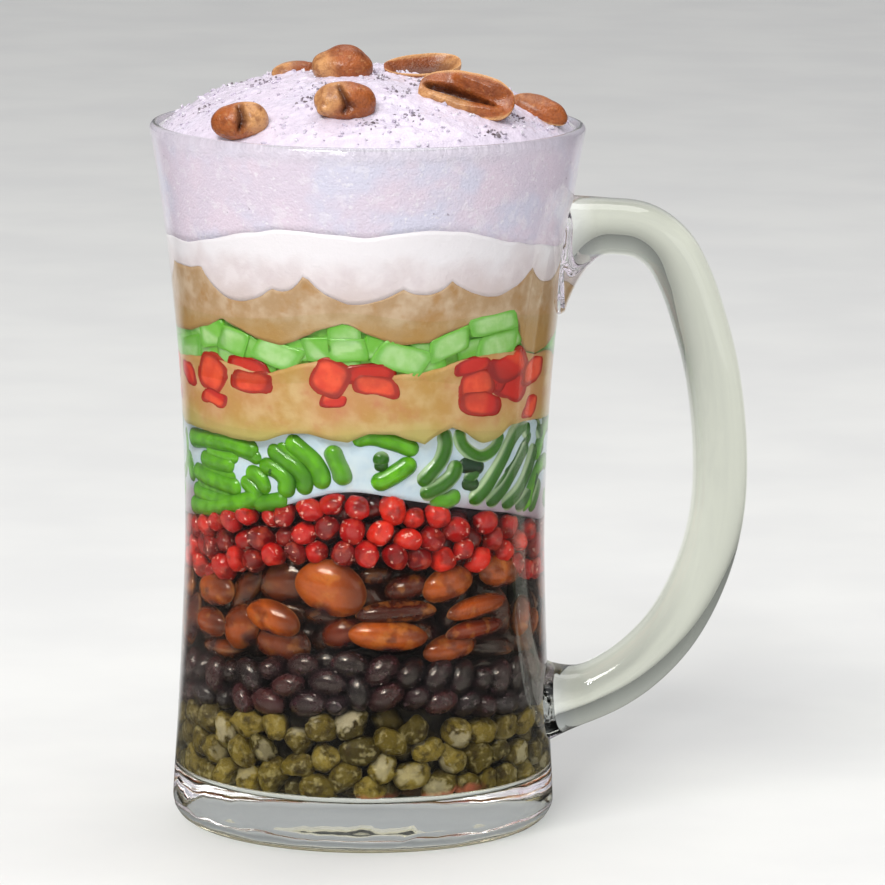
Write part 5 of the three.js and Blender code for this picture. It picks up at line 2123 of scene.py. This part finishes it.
LEFT_NUT_GAP = Crease(
    (
        (0.02, -0.3, 1.0, 0.16), (0.08, -0.85, 0.5, 0.26),
        (0.06, -1.0, 0.05, 0.3), (-0.12, -0.9, -0.5, 0.1),
    ),
    1.9,
)
FRONT_NUT_GAP = Crease(
    (
        (-0.3, -0.4, 0.9, 0.12), (-0.12, -0.9, 0.4, 0.2),
        (0.06, -1.0, -0.12, 0.34), (-0.1, -0.9, -0.5, 0.14),
    ),
    1.5,
)
LONG_NUT_CREASES = (
    Crease(((-0.74, -0.1, 0, 0.2), (-0.36, -0.08, 0, 0.28), (0.1, 0.04, 0, 0.2), (0.6, 0.2, 0, 0.08)), 3.0),
    Crease(((-0.1, -0.62, 0, 0.3), (0.5, -0.4, 0, 0.44)), -1.7, 0.2),
    Crease(((-0.7, 0.34, 0, 0.34), (-0.1, 0.5, 0, 0.4), (0.6, 0.5, 0, 0.34)), -1.3, 0.0),
)

PEANUTS = (
    Peanut(
        -15.8, 2.0, -0.5, (9.6, 7.0, 2.6), 12, 4, 0, NutKind.HALF,
        creases=(Crease(((0.62, -0.2, 0.5, 0.4), (0.8, 0.1, 0.4, 0.4)), -1.1, 0.55),),
        painted_lit_side=(-0.7, 0, 0.5),
    ),
    Peanut(
        -5.3, -8.5, 1.0, (12.6, 9.8, 8.4), -8, -6, 0, NutKind.WHOLE,
        creases=(
            Crease(((0.0, 0, 1.0, 0.8), (0.1, 0, 1.0, 0.8)), -0.9, 0.0),
            Crease(((0.42, -0.3, 0.86, 0.2), (0.55, -0.3, 0.8, 0.2)), -0.4, 0.6),
        ),
        painted_lit_side=(-0.9, -0.3, -0.2),
    ),
    Peanut(
        -4.4, -31.5, 2.0, (12.6, 9.2, 8.4), 8, -4, 0, NutKind.WHOLE,
        creases=(FRONT_NUT_GAP, Crease(((-0.8, -0.5, -0.45, 0.34), (-0.7, -0.6, -0.3, 0.3)), -0.9, 0.0)),
        painted_lit_side=(-1.0, -0.2, 0.3),
    ),
    Peanut(
        -26.2, -31.4, 2.4, (12.0, 8.6, 7.8), 8, 6, 0, NutKind.WHOLE,
        creases=(LEFT_NUT_GAP,), painted_lit_side=(0.9, -0.4, 0.3),
    ),
    Peanut(
        11.6, -5.0, 2.1, (16.2, 8.8, 4.4), 4, 4, -158, NutKind.HALF, dish=0.62, painted_lit_side=(0.9, 0.2, 0.1)
    ),
    Peanut(
        20.6, -23.0, 2.4, (20.4, 10.4, 5.0), -12, -9, -120, NutKind.HALF, dish=0.12,
        creases=LONG_NUT_CREASES, painted_lit_side=(-0.5, 0.6, 0.2),
    ),
    Peanut(36.0, -9.0, 0.2, (12.6, 7.2, 3.2), -12, -20, 20, NutKind.HALF, painted_lit_side=(-0.3, 0, 0.3)),
    Peanut(-12.0, 35.0, -0.2, (13.0, 8.6, 3.6), 20, -3, -20, NutKind.HALF),
    Peanut(18.0, 32.5, -0.4, (12.6, 8.6, 7.0), -35, 3, -18, NutKind.WHOLE),
)


# Floor, light and camera


def mirrored(nodes: Nodes, place: Socket, dimming: float = 0.94) -> Socket:
    """How much dimmer the studio is where it is mirrored, other than straight behind the mug.

    Args:
        nodes: The material's nodes.
        place: The place, or the way to it, from the mug.
        dimming: How much dimmer it is at most.

    Returns:
        The share of the light that is left out.
    """
    path = nodes.add("LightPath").outputs
    only = nodes.math("SUBTRACT", path["Is Glossy Ray"], path["Is Transmission Ray"])
    only = nodes.math("MAXIMUM", only, 0.0)
    way = nodes.add("VectorMath", {0: place}, operation="NORMALIZE").outputs[0]
    aside = nodes.span(nodes.axis(way, "Y"), 0.72, 0.9, dimming, 0.0)
    return nodes.math("MULTIPLY", only, aside)


@dataclass(frozen=True)
class FloorFinish(Finish):
    """The finish of the floor: pale, a little uneven in tone, and dimmer where it is mirrored."""

    name: str = "pale_floor"
    main: Colour = srgb(226, 226, 224)
    patch: Colour = srgb(220, 220, 219)

    def look(self, nodes: Nodes) -> Inputs:
        """The shader's inputs."""
        coats = (mottle(nodes, 60.0, 0.3, 0.7), self.patch), (mirrored(nodes, nodes.place()), srgb(0, 0, 0))
        return {"Base Color": nodes.coated(self.main, *coats), "Roughness": 0.6}


@dataclass
class Studio:
    """A pale floor, soft lamps, a pale sky and the camera, in metres."""

    floor_radius: float = 9.0
    sky_strength: float = 0.78
    distance: float = 1.4
    elevation: float = 9.62
    roll: float = 0.521
    aim: tuple[float, float, float] = (0.01643, 0.0, 0.08138)
    lens: float = 267.02

    def floor(self) -> None:
        """A wide pale floor that is a little uneven in tone."""
        made = bmesh.new()
        bmesh.ops.create_circle(made, cap_ends=True, segments=96, radius=self.floor_radius)
        mesh = bpy.data.meshes.new("floor")
        made.to_mesh(mesh)
        made.free()
        floor = bpy.data.objects.new("floor", mesh)
        floor.location.z = -0.0004
        bpy.context.scene.collection.objects.link(floor)
        mesh.materials.append(FloorFinish().material())

    def sky(self) -> None:
        """A pale sky, brighter above than at the sides."""
        world = bpy.data.worlds.new("pale_sky")
        bpy.context.scene.world = world
        world.use_nodes = True
        nodes = Nodes(world.node_tree)
        way = nodes.add("TexCoord").outputs["Generated"]
        greys = [(0.0, (0.34, 0.35, 0.36, 1)), (0.25, (0.6, 0.61, 0.63, 1)), (0.8, (1, 1, 1, 1))]
        colour = nodes.ramp(nodes.axis(way, "Z"), greys)
        seen = nodes.math("SUBTRACT", 1.0, mirrored(nodes, way))
        strength = nodes.math("MULTIPLY", seen, self.sky_strength)
        background = nodes.add("Background", {"Color": colour, "Strength": strength})
        nodes.add("OutputWorld", {"Surface": background.outputs[0]})

    def lamp(self, name: str, place: Vector, size: float, power: float, colour: Vector) -> None:
        """A soft square lamp that faces the mug.

        Args:
            name: The lamp's name.
            place: Where it hangs, in metres.
            size: Its width in metres.
            power: Its power in watts.
            colour: Its colour.
        """
        light = bpy.data.lights.new(name, "AREA")
        light.size = size
        light.energy = power
        light.color = colour
        made = bpy.data.objects.new(name, light)
        made.location = place
        made.rotation_euler = (Vector((0, 0, 0.08)) - made.location).to_track_quat("-Z", "Y").to_euler()
        bpy.context.scene.collection.objects.link(made)

    def camera(self) -> None:
        """The camera at the photograph's viewing angle."""
        data = bpy.data.cameras.new("camera")
        data.lens = self.lens
        data.sensor_width = 36.0
        camera = bpy.data.objects.new("camera", data)
        rise = math.radians(self.elevation)
        aim = Vector(self.aim)
        place = aim + self.distance * Vector((0, -math.cos(rise), math.sin(rise)))
        facing = (aim - place).to_track_quat("-Z", "Y").to_matrix().to_4x4()
        roll = Matrix.Rotation(math.radians(self.roll), 4, "Z")
        camera.matrix_world = Matrix.Translation(place) @ facing @ roll
        bpy.context.scene.collection.objects.link(camera)
        bpy.context.scene.camera = camera

    def build(self) -> None:
        """Sets the floor, the light and the camera up."""
        self.floor()
        self.sky()
        self.lamp("key", Vector((-0.6, -0.9, 1.25)), 0.55, 15.0, Vector((1.0, 0.985, 0.96)))
        self.lamp("fill", Vector((1.0, -0.8, 0.5)), 0.8, 1.8, Vector((0.95, 0.97, 1.0)))
        self.lamp("top", Vector((0.1, 0.35, 1.2)), 0.7, 3.6, Vector((1.0, 1.0, 1.0)))
        self.lamp("glint", Vector((-0.3, -1.1, 0.95)), 0.14, 4.5, Vector((1.0, 1.0, 1.0)))
        self.camera()
        scene = bpy.context.scene
        scene.view_settings.view_transform = "Standard"
        scene.cycles.max_bounces = 24
        scene.cycles.transmission_bounces = 24
        scene.cycles.transparent_max_bounces = 20
        scene.cycles.glossy_bounces = 24
        scene.cycles.diffuse_bounces = 3


# The dessert, put together

MUNG = BeanForm(7.4, 5.9, 5.5, lumps=0.2, wrinkles=0.09, facets=2, splits=0.8)
BLACK = BeanForm(7.9, 5.5, 5.1, bend=0.06, lumps=0.04)
KIDNEY = BeanForm(14.0, 7.8, 5.6, bend=0.07, lumps=0.04, flatness=1.25, eye=True)
RUBY = BeanForm(6.3, 5.2, 4.9, lumps=0.13, wrinkles=0.03, facets=1, splits=0.16)

PLACED_KIDNEY_BEANS = (
    (-11.0, 55.8, 15.2, 11.6, -22, 0.0, 0.9), (-31.0, 55.9, 12.4, 10.6, 22, 3.0, 0.72),
    (-62.0, 52.3, 13.0, 7.5, 8, 0.0, 0.8), (-66.0, 44.8, 11.5, 6.8, 4, 0.4, 0.72),
    (-48.5, 45.4, 11.0, 9.0, 50, 0.8, 0.8), (-33.0, 48.6, 13.0, 7.4, -12, 0.0, 0.95),
    (-31.0, 43.2, 13.0, 8.4, -4, 2.2, 0.7), (-7.0, 46.3, 9.0, 6.6, 24, 1.4, 0.4),
    (-14.5, 49.6, 9.0, 4.8, -4, 3.2, 0.1), (16.6, 55.9, 9.5, 5.8, 14, 1.4, 0.3),
    (4.0, 58.4, 8.0, 4.8, 4, 2.8, 0.16), (31.5, 56.2, 12.0, 7.6, 15, 0.0, 0.85),
    (12.2, 50.8, 17.0, 5.2, 3, 0.5, 0.08), (9.0, 46.0, 16.5, 6.8, -4, 0.0, 0.92),
    (43.4, 50.7, 16.0, 4.9, 6, 0.0, 0.8), (42.6, 46.0, 15.0, 4.4, 3, 0.4, 0.42),
    (33.0, 42.4, 12.5, 6.2, 8, 0.9, 0.8), (56.0, 57.4, 13.0, 7.2, -6, 0.0, 0.86),
    (70.0, 46.4, 9.0, 6.0, 80, 0.3, 0.7), (-165.5, 55.2, 13.0, 7.6, 14, 0.1, 0.7),
    (-176.0, 49.6, 12.6, 7.0, -12, 0.8, 0.45),
)

HEAPS = (
    Heap(
        "mung_beans", "mung", Edge.FLOOR, Edge.BLACK, MUNG, 180, 7.0, 100, blush=(20.0, 24.0, 13.0)
    ),
    Heap("black_beans", "black", Edge.BLACK, Edge.KIDNEY, BLACK, 118, 7.0, 300),
    Heap(
        "kidney_beans", "kidney", Edge.KIDNEY, Edge.RUBY, KIDNEY, 60, 9.0, 700,
        placed=PLACED_KIDNEY_BEANS, placed_detail=5, clear_reach=64.0,
    ),
    Heap("ruby_seeds", "ruby", Edge.RUBY, Edge.PANDAN, RUBY, 186, 7.0, 500),
)

FINISHES = {
    "mung": StockFinish(
        "mung_skin",
        dark=srgb(68, 58, 18), middle=srgb(104, 88, 30), light=srgb(140, 120, 52),
        patch=srgb(184, 170, 122), shade=srgb(46, 33, 11),
        patch_size=1.5, patch_share=0.5, shade_share=0.8,
        gash=srgb(190, 178, 148), rim=srgb(204, 104, 88), far=srgb(30, 22, 9),
        roughness=0.4, coat=0.25, depth=0.3,
    ),
    "black": StockFinish(
        "black_skin",
        dark=srgb(16, 8, 12), middle=srgb(30, 14, 22), light=srgb(66, 26, 28),
        # The mauve patches are painted sheen, mottled at random.
        patch=srgb(84, 48, 60), shade=srgb(10, 6, 9),
        patch_size=2.6, patch_share=0.3, shade_share=0.5,
        gash=srgb(60, 36, 40), rim=srgb(60, 40, 48), far=srgb(10, 6, 9),
        roughness=0.36, coat=1.0, depth=0.03, coat_roughness=0.17, coat_bending=1.7,
        # The black beans' pale specks are painted glints.
        painted_glint=srgb(150, 126, 140), painted_glint_share=0.2,
    ),
    "kidney": StockFinish(
        "kidney_skin",
        dark=srgb(58, 15, 6), middle=srgb(134, 46, 11), light=srgb(196, 92, 22),
        patch=srgb(220, 136, 56), shade=srgb(70, 16, 8),
        patch_size=3.6, patch_share=0.45, shade_share=0.72,
        # The rim colour is a painted highlight along the beans' rims, and far is painted shade.
        gash=srgb(58, 22, 40), rim=srgb(206, 142, 88), far=srgb(22, 6, 5),
        roughness=0.22, coat=1.0, depth=0.02, streaks_and_side_shade=True, coat_roughness=0.09, coat_bending=1.6,
    ),
    "ruby": StockFinish(
        "ruby_skin",
        dark=srgb(120, 5, 9), middle=srgb(200, 15, 14), light=srgb(238, 44, 28),
        patch=srgb(240, 92, 62), shade=srgb(80, 3, 7),
        patch_size=2.0, patch_share=0.3, shade_share=0.65,
        gash=srgb(240, 142, 118), rim=srgb(200, 60, 50), far=srgb(46, 8, 7),
        roughness=0.1, coat=1.0, depth=0.05, coat_roughness=0.09, coat_bending=1.6,
        # The ruby seeds' pink-white specks are painted glints.
        painted_glint=srgb(250, 186, 168),
    ),
}


def gap_finish(
    name: str, main: Colour, light: Colour, dark: Colour, stain: Colour | None = None
) -> PasteFinish:
    """The finish of the dark mass behind a heap's pieces: painted shade in the gaps between them."""
    return PasteFinish(name, main, light, dark, main, patch_size=2.6, stain=stain)


CORES = {
    "mung_core": gap_finish("mung_gap", srgb(46, 36, 16), srgb(74, 60, 28), srgb(26, 18, 9)),
    "black_core": gap_finish("black_gap", srgb(12, 8, 11), srgb(26, 18, 24), srgb(6, 4, 6)),
    "kidney_core": gap_finish("kidney_gap", srgb(30, 8, 7), srgb(54, 16, 10), srgb(14, 4, 5)),
    # Painted light: the ruby core's top takes a pale colour where the gap under the milk lies in shade.
    "ruby_core": gap_finish(
        "ruby_gap", srgb(66, 18, 14), srgb(96, 32, 20), srgb(34, 9, 9), stain=srgb(226, 200, 212)
    ),
}


def build_heaps() -> None:
    """Builds the four heaps of beans and seeds with the dark cores behind them, painted shade in their gaps.
    """
    for heap in HEAPS:
        heap.build(FINISHES[heap.slot].material())
        core = HeapCore(heap.bottom, heap.top, -heap.depth - 1.0, columns=192)
        name = heap.slot + "_core"
        core.build(name, CORES[name].material(), heap.slot)


def build_syrup() -> None:
    """The clear syrup round the beans, seeds and strands, and the gel round the green cubes."""
    tints = (
        (10.0, srgb(238, 230, 200)), (28.0, srgb(224, 212, 208)), (42.0, srgb(240, 218, 204)),
        (60.0, srgb(246, 226, 216)), (71.0, srgb(246, 244, 244)), (90.0, srgb(246, 250, 250)),
    )
    clear = ClearFinish("syrup", 1.2, srgb(240, 236, 230), 0.1, tints=tints)
    syrup = LayerBody(Edge.FLOOR, Edge.LOWER_PASTE, 0.12, 192, rows=44, low_lift=-0.55, high_drop=-1.4)
    syrup.build("syrup", clear.material(), "ruby")
    clear = ClearFinish("clear_gel", 1.2, srgb(246, 252, 240), 0.1)
    gel = LayerBody(Edge.GREEN, Edge.UPPER_PASTE, reach=0.14, low_lift=-3.0, high_drop=-3.2)
    gel.build("clear_gel", clear.material(), "green_jelly")


def build_jellies() -> None:
    """The pandan strands in their milk, and the red and green cubes."""
    strand = JellyFinish("pandan_jelly", srgb(110, 186, 20), srgb(46, 98, 14), srgb(46, 110, 14))
    milk = PasteFinish(
        "coconut_milk",
        main=srgb(208, 222, 240), light=srgb(228, 234, 244), dark=srgb(192, 208, 228),
        base=srgb(190, 168, 184), base_span=(71.0, 76.0), patch_size=5.0, roughness=0.35, depth=0.05,
    )
    PandanJelly().build(strand.material(), milk.material())
    green = JellyFinish("green_jelly", srgb(176, 212, 146), srgb(120, 188, 64), srgb(98, 172, 40))
    JellyCubes("green_cubes", "green_jelly", reach=0.0).build(green_spots(1400), green.material())
    gap = PasteFinish(
        "green_gap",
        main=srgb(104, 168, 54), light=srgb(140, 190, 82), dark=srgb(76, 142, 44),
        base=srgb(150, 176, 76), base_span=(101.0, 104.0), patch_size=2.6, depth=0.2,
    )
    core = HeapCore(GREEN_FOOT, GREEN_TOP, -0.8, low_lift=-0.5, high_drop=-0.5, lumps=0.3, lump_size=3.0)
    core.build("green_core", gap.material(), "green_jelly")
    red = JellyFinish("red_jelly", srgb(236, 82, 44), srgb(200, 27, 13), srgb(142, 8, 6))
    chunks = JellyCubes(
        "red_cubes", "red_jelly",
        softness=1.0, squareness=3.0, unevenness=0.75, depth=5.0, pressed=0.8, seed=1500,
    )
    chunks.build(red_spots(), red.material())


def build_pastes() -> None:
    """The two bean pastes and the coconut cream."""
    lower = PasteFinish(
        "lower_paste",
        main=srgb(186, 142, 72), light=srgb(204, 170, 116), dark=srgb(188, 124, 78),
        base=srgb(182, 166, 90), base_span=(86.0, 93.5), patch_size=5.5, stain=srgb(202, 122, 98),
    )
    body = LowerPaste(PASTE_FOOT, GREEN_FOOT, low_lift=0.0, high_drop=0.0)
    body.build("lower_paste", lower.material(), "lower_paste", "lower_bean_paste")
    upper = PasteFinish(
        "upper_paste",
        main=srgb(176, 141, 103), light=srgb(198, 170, 142), dark=srgb(169, 122, 66),
        base=srgb(176, 130, 70), base_span=(107.0, 115.5), patch_size=5.0,
    )
    body = LayerBody(GREEN_TOP, CREAM_EDGE, low_lift=0.0, high_drop=-0.12)
    body.build("upper_paste", upper.material(), "upper_paste", "upper_bean_paste")
    cream = PasteFinish(
        "coconut_cream",
        main=srgb(218, 204, 208), light=srgb(229, 217, 221), dark=srgb(213, 197, 202),
        base=srgb(206, 187, 185), base_span=(115.0, 123.0), patch_size=5.0, roughness=0.4,
        crest=srgb(236, 229, 235), crest_span=(121.5, 127.5),
    )
    body = LayerBody(CREAM_EDGE, ICE_FOOT, reach=0.11, low_lift=0.0, high_drop=-0.2)
    body.build("cream", cream.material(), "cream", "coconut_cream")


def build_topping() -> None:
    """The shaved ice and the peanuts on it."""
    ShavedIce().build(IceFinish().material(), CrystalFinish().material())
    roasted = NutFinish().material()
    for number, nut in enumerate(PEANUTS, start=1):
        kernel = make_object(f"roasted_peanut_{number}", nut.shape(number))
        dress(kernel, roasted, "peanut", f"peanut_{number}")


def main() -> None:
    """Builds every piece in order, then the studio."""
    logging.basicConfig(level=logging.INFO, format="%(message)s")
    clear = ClearFinish("clear_glass", 1.5, srgb(241, 244, 240), arm_tint=srgb(229, 232, 219))
    GlassMug().build(clear.material(), replace(clear, name="lined_glass", shine=0.06).material())
    build_heaps()
    build_syrup()
    build_jellies()
    build_pastes()
    build_topping()
    Studio().build()
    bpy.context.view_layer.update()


if __name__ == "__main__":
    main()
